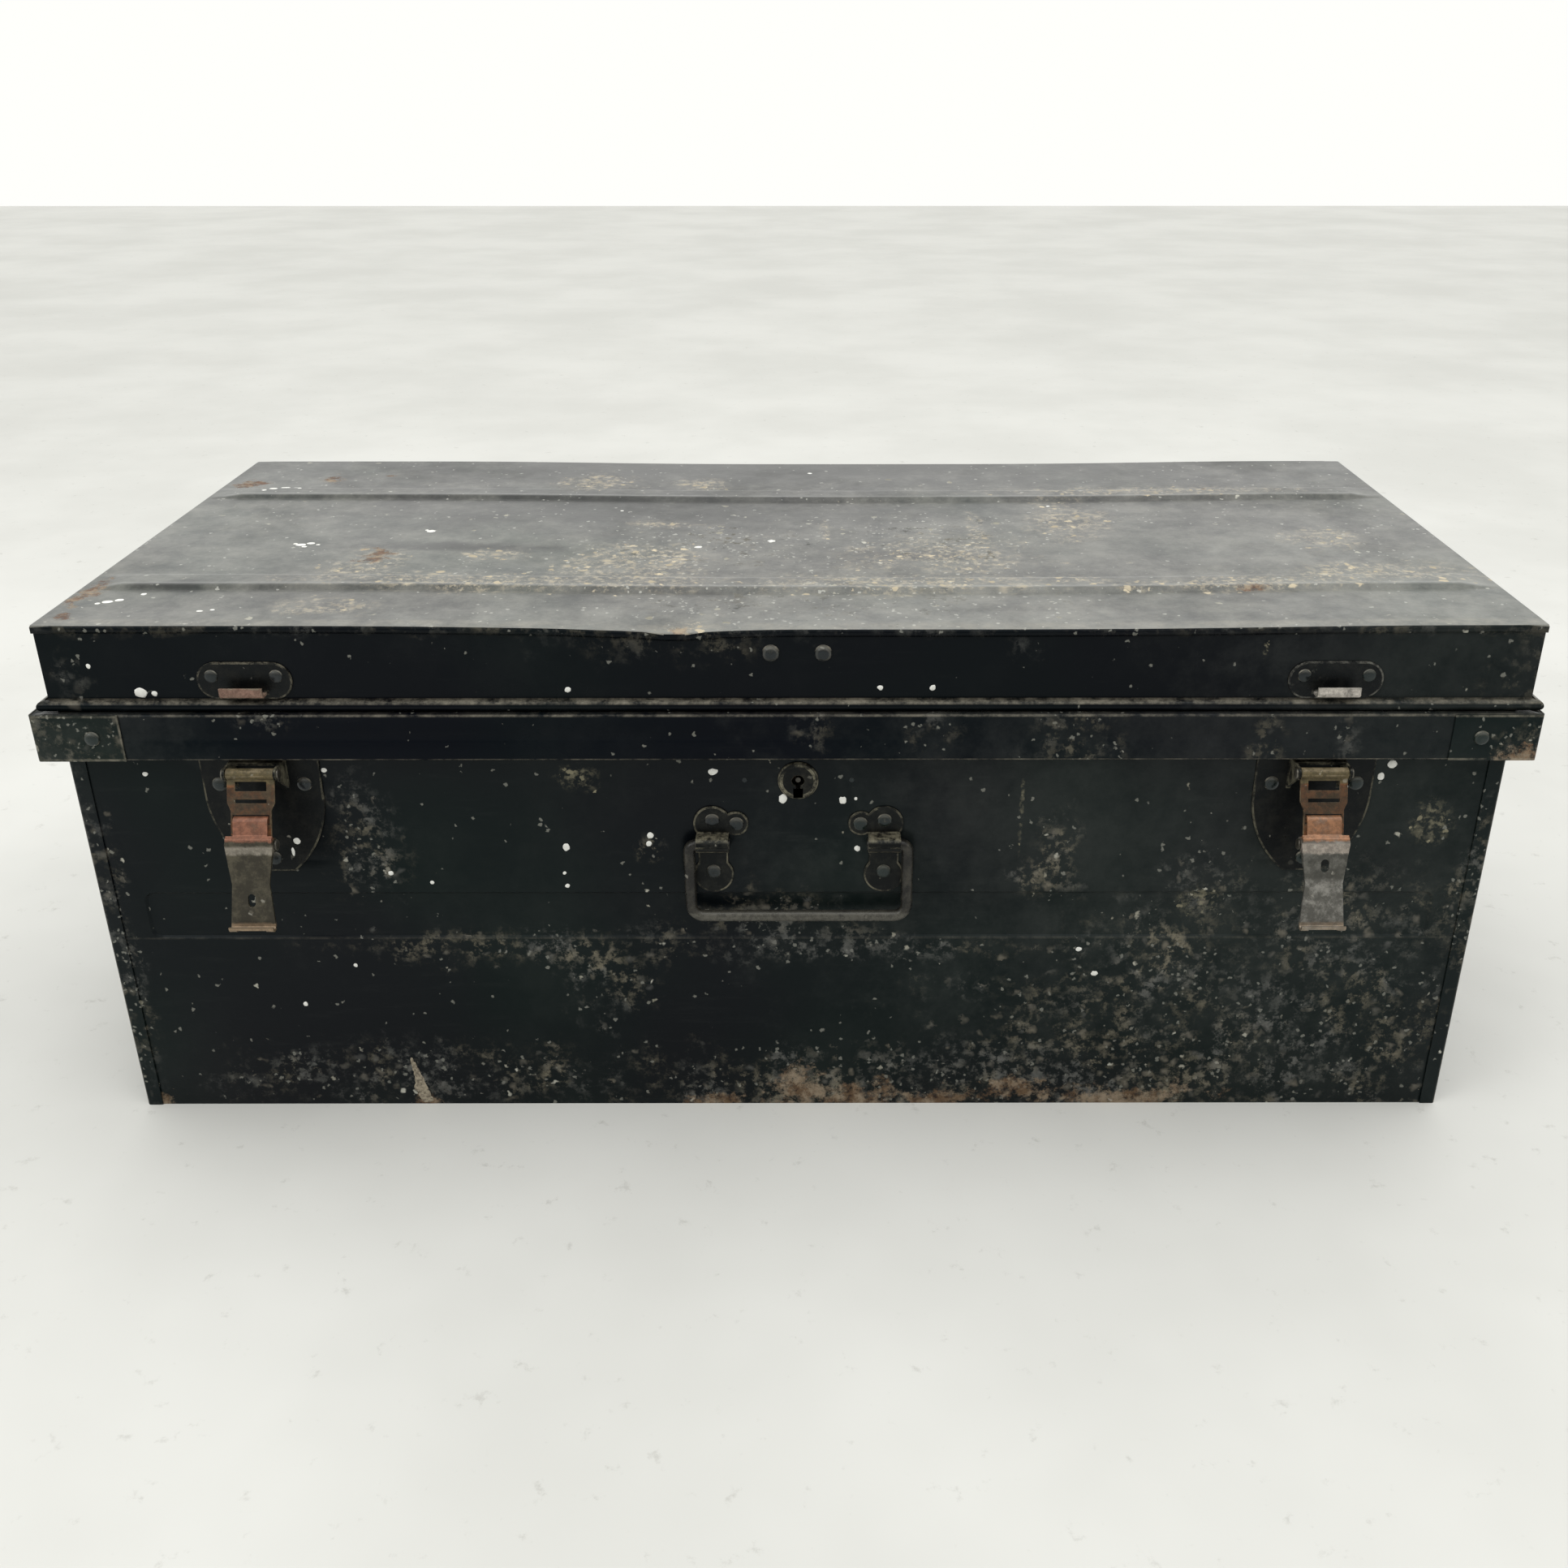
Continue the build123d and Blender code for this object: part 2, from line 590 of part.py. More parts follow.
def latch_link(hand, name):
    """Ladder-shaped plate between the two pins, with an eye rolled at each end."""
    x = hand * latch_x
    across = leaning(x, pivot_y, pivot_z, link_lean)
    flat = Plane(origin=across.origin, x_dir=(1, 0, 0), z_dir=across.x_dir)
    slot_width = link_width - 8.0
    # the tongue's hook swings out through the window, which clears it above and below
    window_low = tongue_reach - hook_stub - window_gap
    window_high = tongue_reach + curl_radius + lever_sheet / 2 + window_gap
    with BuildPart() as piece:
        with BuildSketch(flat.offset(-link_sheet / 2)):
            with BuildLine():
                Polyline((-link_width / 2, 0), (link_width / 2, 0), (link_width / 2, -15.0),
                         (link_foot_width / 2, -19.0), (link_foot_width / 2, -link_length),
                         (-link_foot_width / 2, -link_length), (-link_foot_width / 2, -19.0),
                         (-link_width / 2, -15.0), (-link_width / 2, 0))
            make_face()
            with Locations((0, -6.4)):
                Rectangle(slot_width, 5.0, mode=Mode.SUBTRACT)
            with Locations((0, -14.2)):
                Rectangle(slot_width, 2.0, mode=Mode.SUBTRACT)
            with Locations((0, (window_low + window_high) / 2 - link_length)):
                Rectangle(tongue_width + 2 * window_gap, window_high - window_low, mode=Mode.SUBTRACT)
        extrude(amount=link_sheet)
        for drop, width in ((0, link_width), (-link_length, link_foot_width)):
            with BuildSketch(across):
                with Locations((0, drop)):
                    Circle(link_eye_radius)
            extrude(amount=width / 2, both=True)
        with BuildSketch(across):
            Circle(pin_radius + pin_fit)
            with Locations((0, -link_length)):
                Circle(pin_radius + 0.02)
        extrude(amount=link_width, both=True, mode=Mode.SUBTRACT)
    save(piece, name)


def latch_lever(hand, name):
    """Finger lever on the link's lower pin: hood over the eye, hooked tongue above, lip below."""
    x = hand * latch_x
    across = leaning(x, knuckle_y, knuckle_z, lever_lean)
    middle = lever_standoff + lever_sheet / 2
    lean = radians(link_lean - lever_lean)
    # the tongue lies along the hanging link, so it is set out from the lever's own line
    along = (-sin(lean), cos(lean))
    off = (cos(lean), sin(lean))
    lift = link_sheet / 2 + tongue_fit + lever_sheet / 2

    def on_link(up, out):
        return (along[0] * up + off[0] * out, along[1] * up + off[1] * out)

    with BuildPart() as piece:
        # plate, tapering to a waist and flaring to the lip
        plate = Plane(origin=across.origin, x_dir=(1, 0, 0), z_dir=across.x_dir)
        with BuildSketch(plate.offset(lever_standoff)):
            with BuildLine():
                Polyline((-lever_width / 2 - 0.4, 1.5), (lever_width / 2 + 0.4, 1.5),
                         (lever_width / 2 - 1.2, -20.0), (lever_lip / 2, -lever_length),
                         (-lever_lip / 2, -lever_length), (-lever_width / 2 + 1.2, -20.0),
                         (-lever_width / 2 - 0.4, 1.5))
            make_face()
            with Locations((0, -lever_holes[hand])):
                SlotCenterToCenter(2.5, 4.5, rotation=90, mode=Mode.SUBTRACT)
        extrude(amount=lever_sheet)
        # finger lip curled outward, notched so that two feet stand at its corners
        with BuildSketch(across):
            with Locations((middle + lip_radius, -lever_length)):
                Circle(lip_radius + lever_sheet / 2)
                Circle(lip_radius - lever_sheet / 2, mode=Mode.SUBTRACT)
                with Locations((0, lip_radius + 1)):
                    Rectangle(20, 2 * lip_radius + 2, mode=Mode.SUBTRACT)
        extrude(amount=lever_lip / 2, both=True)
        with BuildSketch(plate.offset(middle + lip_radius / 2)):
            with Locations((0, -lever_length - lip_radius - lever_sheet / 2)):
                Rectangle(lever_lip - 9.0, 2.0)
        extrude(amount=4 * lip_radius, mode=Mode.SUBTRACT)
        # hood over the link's eye and tongue up its face, with a hook curled at the tip
        start = on_link(tongue_reach, lift)
        foot = on_link(4.6, lift)
        tip = on_link(tongue_reach + 0.01, lift - 2 * curl_radius)
        top = on_link(tongue_reach + curl_radius, lift - curl_radius)
        with BuildSketch(across):
            with BuildLine() as hood_line:
                FilletPolyline((middle, -1.0), (middle, 3.4), foot, start, radius=[1.6, 1.6])
                ThreePointArc(start, top, tip)
                Line(tip, on_link(tongue_reach - hook_stub, lift - 2 * curl_radius))
            trace(hood_line.line, line_width=lever_sheet)
        extrude(amount=tongue_width / 2, both=True)
        with BuildSketch(across):
            with BuildLine() as band_line:
                Polyline((middle, -5.0), (middle, 3.4), (middle - 1.6, 5.0))
            trace(band_line.line, line_width=lever_sheet)
        extrude(amount=ear_gap + lug_sheet, both=True)
        # ears that carry the pin
        for side in (-1, 1):
            ear = Plane(origin=across.origin + Vector(side * (ear_gap + lug_sheet / 2), 0, 0),
                        x_dir=across.x_dir, z_dir=across.z_dir)
            with BuildSketch(ear):
                Circle(lug_radius + 0.3)
                with BuildLine():
                    Polyline((-2.0, 3.0), (middle, 4.4), (middle, -cheek_drop), (2.0, -3.2), (-2.0, 3.0))
                make_face()
                Circle(pin_radius + pin_fit, mode=Mode.SUBTRACT)
            extrude(amount=lug_sheet / 2, both=True)
    save(piece, name)


for hand, side in ((-1, "left"), (1, "right")):
    latch_base(hand, f"latch_base_{side}")
    latch_pin(hand * latch_x, pivot_y, pivot_z, lug_gap + lug_sheet, f"latch_base_pin_{side}")
    latch_link(hand, f"latch_link_{side}")
    latch_pin(hand * latch_x, knuckle_y, knuckle_z, ear_gap + lug_sheet + side_fit,
              f"latch_knuckle_pin_{side}")
    latch_lever(hand, f"latch_lever_{side}")

rivets("latch_base_rivets", bracket_rivet,
       [(plane.offset(bracket_sheet), x, z) for plane, x, z in latch_places])

# --- lock ------------------------------------------------------------------------------------
case_back = panel_face - sheet - lock_depth
with BuildPart() as lock_case:
    with BuildSketch(facing("front", panel_face - sheet)):
        with Locations((fittings_x, (lock_low + lock_high) / 2)):
            Rectangle(lock_width, lock_high - lock_low)
    extrude(amount=-lock_depth)
    offset(amount=-lock_wall, openings=lock_case.faces().sort_by(Axis.Y)[0])
    with BuildSketch(facing("front", panel_face - sheet)):
        with Locations((fittings_x, lock_z)):
            Rectangle(lock_width + 2 * lock_tab, lock_tab_height)
            Rectangle(lock_width - 2 * lock_wall, lock_tab_height, mode=Mode.SUBTRACT)
    extrude(amount=-lock_wall)
    # slot in the top for the staple
    with BuildSketch(Plane.XY.offset(lock_high - 2 * lock_wall)):
        with Locations((fittings_x, -(panel_face - sheet))):
            Rectangle(staple_neck + 3.0, 2 * (lock_depth - lock_wall))
    extrude(amount=3 * lock_wall, mode=Mode.SUBTRACT)
    add(punches([(plane, x, z) for plane, x, z in lock_places], small_shank, 4 * sheet), mode=Mode.SUBTRACT)
save(lock_case, "lock_case")

with BuildPart() as drill_pin:
    with BuildSketch(facing("front", case_back + lock_wall)):
        with Locations((fittings_x, lock_z)):
            Circle(drill_pin_radius)
    extrude(amount=lock_depth + sheet - lock_wall)
save(drill_pin, "lock_drill_pin")

with BuildPart() as escutcheon:
    with BuildSketch(front):
        with Locations((fittings_x, lock_z)):
            Circle(escutcheon_radius)
    extrude(amount=escutcheon_thick)
    chamfer(escutcheon.edges().sort_by(Axis.Y)[0], 0.8)
    add(keyhole(facing("front", panel_face + escutcheon_thick), 2 * escutcheon_thick), mode=Mode.SUBTRACT)
save(escutcheon, "lock_escutcheon")

with BuildPart() as lock_rivets:
    for plane, x, z in lock_places:
        with BuildSketch(plane):
            with Locations((x, z)):
                Circle(small_shank / 2)
        extrude(amount=-(sheet + lock_wall))
        with BuildSketch(plane.offset(-sheet - lock_wall)):
            with Locations((x, z)):
                Circle(small_head / 2)
        extrude(amount=-lock_wall)
save(lock_rivets, "lock_rivets")

finger_end = fittings_x - fin_sheet / 2 - bolt_side_gap
plate_z = bolt_z + bolt_finger / 2 - bolt_plate_height / 2
with BuildPart() as lock_bolt:
    with BuildSketch(facing("front", case_back + lock_wall + bolt_gap)):
        with Locations((finger_end - bolt_tip - bolt_plate / 2, plate_z)):
            Rectangle(bolt_plate, bolt_plate_height)
        with Locations((finger_end - bolt_tip / 2 - 0.5, bolt_z)):
            Rectangle(bolt_tip + 1.0, bolt_finger)
        # notch for the bit of the key
        with Locations((finger_end - bolt_tip - bolt_plate / 2, plate_z - bolt_plate_height / 2)):
            Circle(key_notch, mode=Mode.SUBTRACT)
    extrude(amount=bolt_thick)
save(lock_bolt, "lock_bolt")

staple_back = lid_front - sheet              # inside face of the lid's front wall
staple_in = panel_face - staple_inset        # front face of the neck, behind the hemmed wall
with BuildPart() as lock_staple:
    with BuildSketch(section("front", 0, fittings_x)):
        with BuildLine() as staple_line:
            mid = staple_back - staple_sheet / 2
            neck = staple_in - staple_sheet / 2
            FilletPolyline((mid, staple_z + staple_head), (mid, wall_top + 1.5 * staple_head),
                           (neck, wall_top + 0.5 * staple_head), (neck, staple_tip_z), radius=staple_bend)
        trace(staple_line.line, line_width=staple_sheet)
    extrude(amount=staple_width / 2, both=True)
    # narrow the neck that enters the lock
    shoulder_z = wall_top + staple_head
    with BuildSketch(facing("front", staple_back + 1)):
        for hand in (-1, 1):
            with Locations((fittings_x + hand * (staple_neck + staple_width) / 2,
                            (staple_tip_z + shoulder_z) / 2)):
                Rectangle(staple_width, shoulder_z - staple_tip_z + 2)
    extrude(amount=-2 * lock_depth, mode=Mode.SUBTRACT)
    # hook for the bolt: a fin turned back from the neck, with a notch open to the back
    fin_end = case_back + lock_wall + bolt_gap
    fin_root = staple_in - staple_sheet
    with BuildSketch(section("front", 0, fittings_x)):
        with Locations(((fin_end + fin_root) / 2, bolt_z)):
            Rectangle(fin_root - fin_end, fin_height)
        with Locations((fin_end + bolt_thick / 2, bolt_z)):
            Rectangle(bolt_thick + 0.8, bolt_finger + 1.2, mode=Mode.SUBTRACT)
    extrude(amount=fin_sheet / 2, both=True)
    add(punches(staple_places, rivet_shank, 8 * sheet), mode=Mode.SUBTRACT)
save(lock_staple, "lock_staple")
rivets("staple_rivets",
       rivet(rivet_head + 1.0, rivet_dome + 0.6, rivet_shank, sheet + staple_sheet + tail_length),
       staple_places)


# --- lid -------------------------------------------------------------------------------------
def lid_wall(side):
    """One wall of the lid with its lower edge curled round the wire, mitred at the corners."""
    flat = side in ("front", "back")
    inside = lid_in_y if flat else lid_in_x
    half = (lid_out_x if flat else lid_out_y) + 2 * bead_radius
    wall_head = lid_top_height - sheet
    with BuildPart() as wall:
        with BuildSketch(section(side, inside)):
            with Locations((bead_radius, bead_z)):
                Circle(bead_radius)
                Circle(bead_radius - sheet, mode=Mode.SUBTRACT)
            # the curl stops short of the wall
            with Locations((bead_radius, bead_z)):
                with BuildLine():
                    Polyline((bead_radius, bead_z), (bead_radius - 1.6, bead_z + 4),
                             (bead_radius - 0.6, bead_z + 4),
                             (bead_radius, bead_z))
            make_face(mode=Mode.SUBTRACT)
            with Locations((sheet / 2, (bead_z + wall_head) / 2)):
                Rectangle(sheet, wall_head - bead_z)
        extrude(amount=half, both=True)
        for hand in (-1, 1):
            split(bisect_by=mitre(side, hand, lid_out_x, lid_out_y), keep=Keep.BOTTOM)
    return wall.part


with BuildPart() as lid_top:
    with BuildSketch(Plane.XY.offset(lid_top_height - sheet)):
        Rectangle(2 * lid_out_x, 2 * lid_out_y)
    extrude(amount=sheet)
    # folded edge, turned down over the walls
    with BuildSketch(Plane.XY.offset(lid_top_height - lid_hem)):
        RectangleRounded(2 * (lid_out_x + sheet), 2 * (lid_out_y + sheet), radius=corner_bend)
        Rectangle(2 * lid_out_x, 2 * lid_out_y, mode=Mode.SUBTRACT)
    extrude(amount=lid_hem)
    # raised ribs, pressed up from below
    for centre in rib_centres:
        with BuildSketch(Plane.XY.offset(lid_top_height)):
            with Locations((0, centre - lid_shift_y)):
                RectangleRounded(2 * (lid_out_x - rib_end_gap), rib_width, radius=rib_corner)
        extrude(amount=rib_height, taper=60)
        with BuildSketch(Plane.XY.offset(lid_top_height - sheet)):
            with Locations((0, centre - lid_shift_y)):
                RectangleRounded(2 * (lid_out_x - rib_end_gap), rib_width, radius=rib_corner)
        extrude(amount=rib_height, taper=60, mode=Mode.SUBTRACT)
lid_top.part = lid_top.part.moved(lid_shift)
save(lid_top, "lid_top")

for side in NORMALS:
    with BuildPart() as placed_wall:
        with Locations(lid_shift):
            add(lid_wall(side))
        if side == "front":
            add(punches(keeper_places + staple_places, rivet_shank, sheet + 1), mode=Mode.SUBTRACT)
        if side == "back":
            add(punches(hinge_lid_places, rivet_shank, sheet + 1), mode=Mode.SUBTRACT)
    save(placed_wall, f"lid_{side}_wall")

with BuildPart() as edge_wire:
    wire_x = lid_in_x + bead_radius
    wire_y = lid_in_y + bead_radius
    with BuildLine(Plane.XY.offset(bead_z).moved(lid_shift)) as ring:
        Polyline((0, -wire_y), (wire_x, -wire_y), (wire_x, wire_y), (-wire_x, wire_y), (-wire_x, -wire_y),
                 (0, -wire_y))
    with BuildSketch(Plane(origin=ring.line @ 0, z_dir=(1, 0, 0))):
        Circle(bead_radius - sheet - wire_fit)
    sweep(transition=Transition.RIGHT)
save(edge_wire, "lid_edge_wire")


def keeper(hand, name):
    """Stadium-shaped plate on the lid's front with an upturned hook for the latch's tongue."""
    x = lid_shift_x + hand * keeper_x
    reach = seam_face + hook_proud - lid_front
    with BuildPart() as piece:
        with BuildSketch(facing("front", lid_front)):
            with Locations((x, keeper_z)):
                SlotOverall(keeper_length, keeper_height)
        extrude(amount=keeper_sheet)
        with BuildSketch(section("front", lid_front, x)):
            with BuildLine() as hook_line:
                FilletPolyline((keeper_sheet / 2, hook_low_z), (reach - keeper_sheet / 2, hook_low_z),
                               (reach - keeper_sheet / 2, hook_tip_z), radius=1.4)
            trace(hook_line.line, line_width=keeper_sheet)
        extrude(amount=hook_width / 2, both=True)
        add(punches(keeper_places, rivet_shank, 3 * keeper_sheet), mode=Mode.SUBTRACT)
    save(piece, name)


keeper(-1, "keeper_left")
keeper(1, "keeper_right")
rivets("keeper_rivets",
       rivet(rivet_head - 1.0, rivet_dome - 0.4, rivet_shank, keeper_sheet + sheet + tail_length),
       [(plane.offset(keeper_sheet), x, z) for plane, x, z in keeper_places])


# --- hinges ----------------------------------------------------------------------------------
def knuckles(x, spans):
    """Barrel lengths of a hinge on its axis, and the bore through them."""
    with BuildPart() as barrels:
        for low, high in spans:
            with BuildSketch(Plane(origin=(x + low, hinge_axis_y, hinge_axis_z), z_dir=(1, 0, 0))):
                Circle(knuckle_radius)
            extrude(amount=high - low)
    return barrels.part


def bore(x, radius):
    with BuildPart() as drill:
        with BuildSketch(Plane(origin=(x, hinge_axis_y, hinge_axis_z), z_dir=(1, 0, 0))):
            Circle(radius)
        extrude(amount=hinge_width, both=True)
    return drill.part


for hand, side in ((-1, "left"), (1, "right")):
    x = hand * hinge_x
    half = hinge_width / 2
    inner = lid_knuckle / 2 + knuckle_gap
    with BuildPart() as body_leaf:
        with BuildSketch(facing("back", rim_face_y)):
            with Locations((-x, (rim_low + hinge_foot_gap + hinge_axis_z) / 2)):
                Rectangle(hinge_width, hinge_axis_z - rim_low - hinge_foot_gap)
        extrude(amount=hinge_sheet)
        # room for the lid's knuckle between the two body knuckles
        with BuildSketch(facing("back", rim_face_y)):
            with Locations((-x, hinge_axis_z)):
                Rectangle(2 * inner, 2 * (knuckle_radius + knuckle_gap))
        extrude(amount=hinge_sheet, mode=Mode.SUBTRACT)
        add(knuckles(x, ((-half, -inner), (inner, half))))
        add(bore(x, hinge_pin_radius + 0.02), mode=Mode.SUBTRACT)
        add(punches(hinge_body_places, rivet_shank, 3 * hinge_sheet), mode=Mode.SUBTRACT)
    save(body_leaf, f"hinge_body_leaf_{side}")

    crank = bead_z + bead_radius + 1.2
    leaf_out = hinge_axis_y - knuckle_radius + hinge_sheet / 2
    with BuildPart() as lid_leaf:
        with BuildSketch(section("back", 0, -x)):
            with BuildLine() as leaf_line:
                FilletPolyline((leaf_out, hinge_axis_z), (leaf_out, crank),
                               (lid_back + hinge_sheet / 2, crank + hinge_crank),
                               (lid_back + hinge_sheet / 2, rim_top + hinge_leaf_rise), radius=1.5)
            trace(leaf_line.line, line_width=hinge_sheet)
        extrude(amount=half, both=True)
        # only the middle knuckle belongs to the lid, so the leaf is notched beside it
        with BuildSketch(facing("back", leaf_out + 2)):
            for notch in (-1, 1):
                with Locations((-x + notch * (half + lid_knuckle / 2) / 2, hinge_axis_z)):
                    Rectangle(half - lid_knuckle / 2, 2 * (knuckle_radius + knuckle_gap))
        extrude(amount=-4, mode=Mode.SUBTRACT)
        add(knuckles(x, ((-lid_knuckle / 2, lid_knuckle / 2),)))
        add(bore(x, hinge_pin_radius + pin_fit), mode=Mode.SUBTRACT)
        add(punches(hinge_lid_places, rivet_shank, 3 * hinge_sheet), mode=Mode.SUBTRACT)
    save(lid_leaf, f"hinge_lid_leaf_{side}")

with BuildPart() as hinge_pins:
    for hand in (-1, 1):
        with BuildSketch(Plane(origin=(hand * hinge_x, hinge_axis_y, hinge_axis_z), z_dir=(1, 0, 0))):
            Circle(hinge_pin_radius)
        extrude(amount=hinge_width / 2, both=True)
save(hinge_pins, "hinge_pins")

hinge_rivet = rivet(rivet_head - 1.0, rivet_dome - 0.4, rivet_shank, hinge_sheet + sheet + tail_length)
rivets("hinge_body_rivets", hinge_rivet,
       [(plane.offset(hinge_sheet), x, z) for plane, x, z in hinge_body_places])
rivets("hinge_lid_rivets", hinge_rivet,
       [(plane.offset(hinge_sheet), x, z) for plane, x, z in hinge_lid_places])
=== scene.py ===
import json
import math
import bmesh
import bpy
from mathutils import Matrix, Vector, noise

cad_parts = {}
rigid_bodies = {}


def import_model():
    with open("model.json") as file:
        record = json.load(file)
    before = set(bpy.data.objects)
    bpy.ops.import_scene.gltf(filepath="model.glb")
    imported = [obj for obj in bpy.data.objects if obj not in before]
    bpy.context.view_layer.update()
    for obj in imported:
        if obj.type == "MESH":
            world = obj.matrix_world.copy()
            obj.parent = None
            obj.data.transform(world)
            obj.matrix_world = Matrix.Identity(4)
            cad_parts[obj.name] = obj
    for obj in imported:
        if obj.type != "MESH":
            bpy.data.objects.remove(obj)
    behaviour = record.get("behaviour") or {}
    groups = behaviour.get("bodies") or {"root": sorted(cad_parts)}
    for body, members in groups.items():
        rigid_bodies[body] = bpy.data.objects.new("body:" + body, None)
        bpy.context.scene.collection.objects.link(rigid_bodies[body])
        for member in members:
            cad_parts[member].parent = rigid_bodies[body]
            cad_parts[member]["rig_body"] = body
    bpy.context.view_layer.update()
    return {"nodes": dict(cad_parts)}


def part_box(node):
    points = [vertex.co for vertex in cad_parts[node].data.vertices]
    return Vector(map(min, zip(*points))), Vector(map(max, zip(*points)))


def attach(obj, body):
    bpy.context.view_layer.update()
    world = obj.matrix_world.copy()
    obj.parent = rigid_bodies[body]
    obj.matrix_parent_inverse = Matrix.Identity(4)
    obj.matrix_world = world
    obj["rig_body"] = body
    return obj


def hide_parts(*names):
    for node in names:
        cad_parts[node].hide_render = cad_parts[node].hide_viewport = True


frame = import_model()
nodes = frame["nodes"]

# --- Studio -----------------------------------------------------------------------------------
# A plain pale floor under soft, even light. The viewpoint is that of someone standing close in
# front of the trunk and looking down at it.
eye = (0.0166, -0.9039, 0.5565)
look_down = math.radians(25.42)
look_right = math.radians(0.12)
lens = 35.01
photo_offset = (-0.0245, 0.0010)

scene = bpy.context.scene
camera = bpy.data.objects.new("camera", bpy.data.cameras.new("camera"))
camera.data.lens = lens
camera.data.sensor_width = 36.0
camera.data.shift_x, camera.data.shift_y = photo_offset
camera.data.clip_start = 0.01
camera.location = eye
camera.rotation_euler = (math.pi / 2 - look_down, 0.0, -look_right)
scene.collection.objects.link(camera)
scene.camera = camera
scene.view_settings.view_transform = "Standard"


def add_node(tree, kind, **values):
    """Adds a shader node. A value is a property of that name, a constant for the input of that name
    (in0, in1 and so on for the first, the second and so on), or a socket to link to it."""
    node = tree.nodes.new(kind)
    for name, value in values.items():
        if hasattr(node, name):
            setattr(node, name, value)
            continue
        socket = node.inputs[int(name[2:]) if name.startswith("in") else name.replace("_", " ")]
        if isinstance(value, bpy.types.NodeSocket):
            tree.links.new(value, socket)
        else:
            socket.default_value = value
    return node


def math_node(tree, operation, first, second=0.5, third=0.5):
    return add_node(tree, "ShaderNodeMath", operation=operation, in0=first, in1=second, in2=third).outputs[0]


def times(tree, first, second):
    return math_node(tree, "MULTIPLY", first, second)


def ramp(tree, value, low, high, to_low=0.0, to_high=1.0):
    """Smooth step of a value between two levels."""
    node = add_node(tree, "ShaderNodeMapRange", interpolation_type="SMOOTHSTEP", Value=value)
    for name, level in (("From Min", low), ("From Max", high), ("To Min", to_low), ("To Max", to_high)):
        node.inputs[name].default_value = level
    return node.outputs["Result"]


def grain(tree, where, scale, detail=3.0, roughness=0.6, distortion=0.0):
    return add_node(tree, "ShaderNodeTexNoise", Vector=where, Scale=scale, Detail=detail, Roughness=roughness,
                    Distortion=distortion).outputs["Fac"]


def mix(tree, amount, first, second):
    """Mixes two colours."""
    node = add_node(tree, "ShaderNodeMix", data_type="RGBA")
    for socket, value in ((node.inputs[0], amount), (node.inputs[6], first), (node.inputs[7], second)):
        if isinstance(value, bpy.types.NodeSocket):
            tree.links.new(value, socket)
        else:
            socket.default_value = (*value, 1.0) if isinstance(value, tuple) and len(value) == 3 else value
    return node.outputs[2]


def start_material(name):
    """New material; returns it with its tree, its shader and its texture coordinates."""
    material = bpy.data.materials.new(name)
    material.use_nodes = True
    tree = material.node_tree
    tree.nodes.clear()
    shader = tree.nodes.new("ShaderNodeBsdfPrincipled")
    out = tree.nodes.new("ShaderNodeOutputMaterial")
    tree.links.new(shader.outputs[0], out.inputs[0])
    return material, tree, shader, tree.nodes.new("ShaderNodeTexCoord")


floor_material, tree, shader, coords = start_material("painted floor")
where = coords.outputs["Object"]
dirt = ramp(tree, grain(tree, where, 60.0, 6.0, 0.7), 0.60, 0.72)
cloud = ramp(tree, grain(tree, where, 2.5, 4.0), 0.3, 0.7)
pale = mix(tree, cloud, (0.56, 0.56, 0.535), (0.63, 0.63, 0.605))
tree.links.new(mix(tree, times(tree, dirt, 0.35), pale, (0.28, 0.27, 0.245)),
               shader.inputs["Base Color"])
shader.inputs["Roughness"].default_value = 0.75

floor_reach = 6.0
floor_mesh = bmesh.new()
bmesh.ops.create_grid(floor_mesh, x_segments=1, y_segments=1, size=floor_reach)
floor_data = bpy.data.meshes.new("floor")
floor_mesh.to_mesh(floor_data)
floor_mesh.free()
floor_data.materials.append(floor_material)
floor = bpy.data.objects.new("floor", floor_data)
scene.collection.objects.link(floor)

# The studio is bright above and behind the trunk and dimmer on the viewer's side, and a plain pale
# wall where the camera looks straight at it.
dimmest, brightest, wall_level = 0.30, 1.25, 1.0
world = bpy.data.worlds.new("studio")
world.use_nodes = True
sky = world.node_tree
direction = sky.nodes.new("ShaderNodeTexCoord").outputs["Generated"]
towards = add_node(sky, "ShaderNodeSeparateXYZ", Vector=direction)
height = math_node(sky, "MULTIPLY_ADD", towards.outputs[1], 0.7, towards.outputs[2])
glow = ramp(sky, height, -0.7, 0.45, dimmest, brightest)
seen = sky.nodes.new("ShaderNodeLightPath").outputs["Is Camera Ray"]
level = add_node(sky, "ShaderNodeMix", data_type="FLOAT", in0=seen, in2=glow, in3=wall_level)
sky.links.new(level.outputs[0], sky.nodes["Background"].inputs["Strength"])
sky.nodes["Background"].inputs["Color"].default_value = (1.0, 1.0, 0.97, 1.0)
scene.world = world

lamp_target = Vector((0.0, 0.0, 0.15))
for name, place, size, power in (
    ("overhead softbox", (0.3, -0.2, 2.2), 2.0, 18.0),
    ("left softbox", (-1.5, -1.2, 1.3), 0.8, 7.0),
):
    lamp = bpy.data.lights.new(name, "AREA")
    lamp.size = size
    lamp.energy = power
    light = bpy.data.objects.new(name, lamp)
    light.location = place
    light.rotation_euler = (lamp_target - Vector(place)).to_track_quat("-Z", "Y").to_euler()
    scene.collection.objects.link(light)


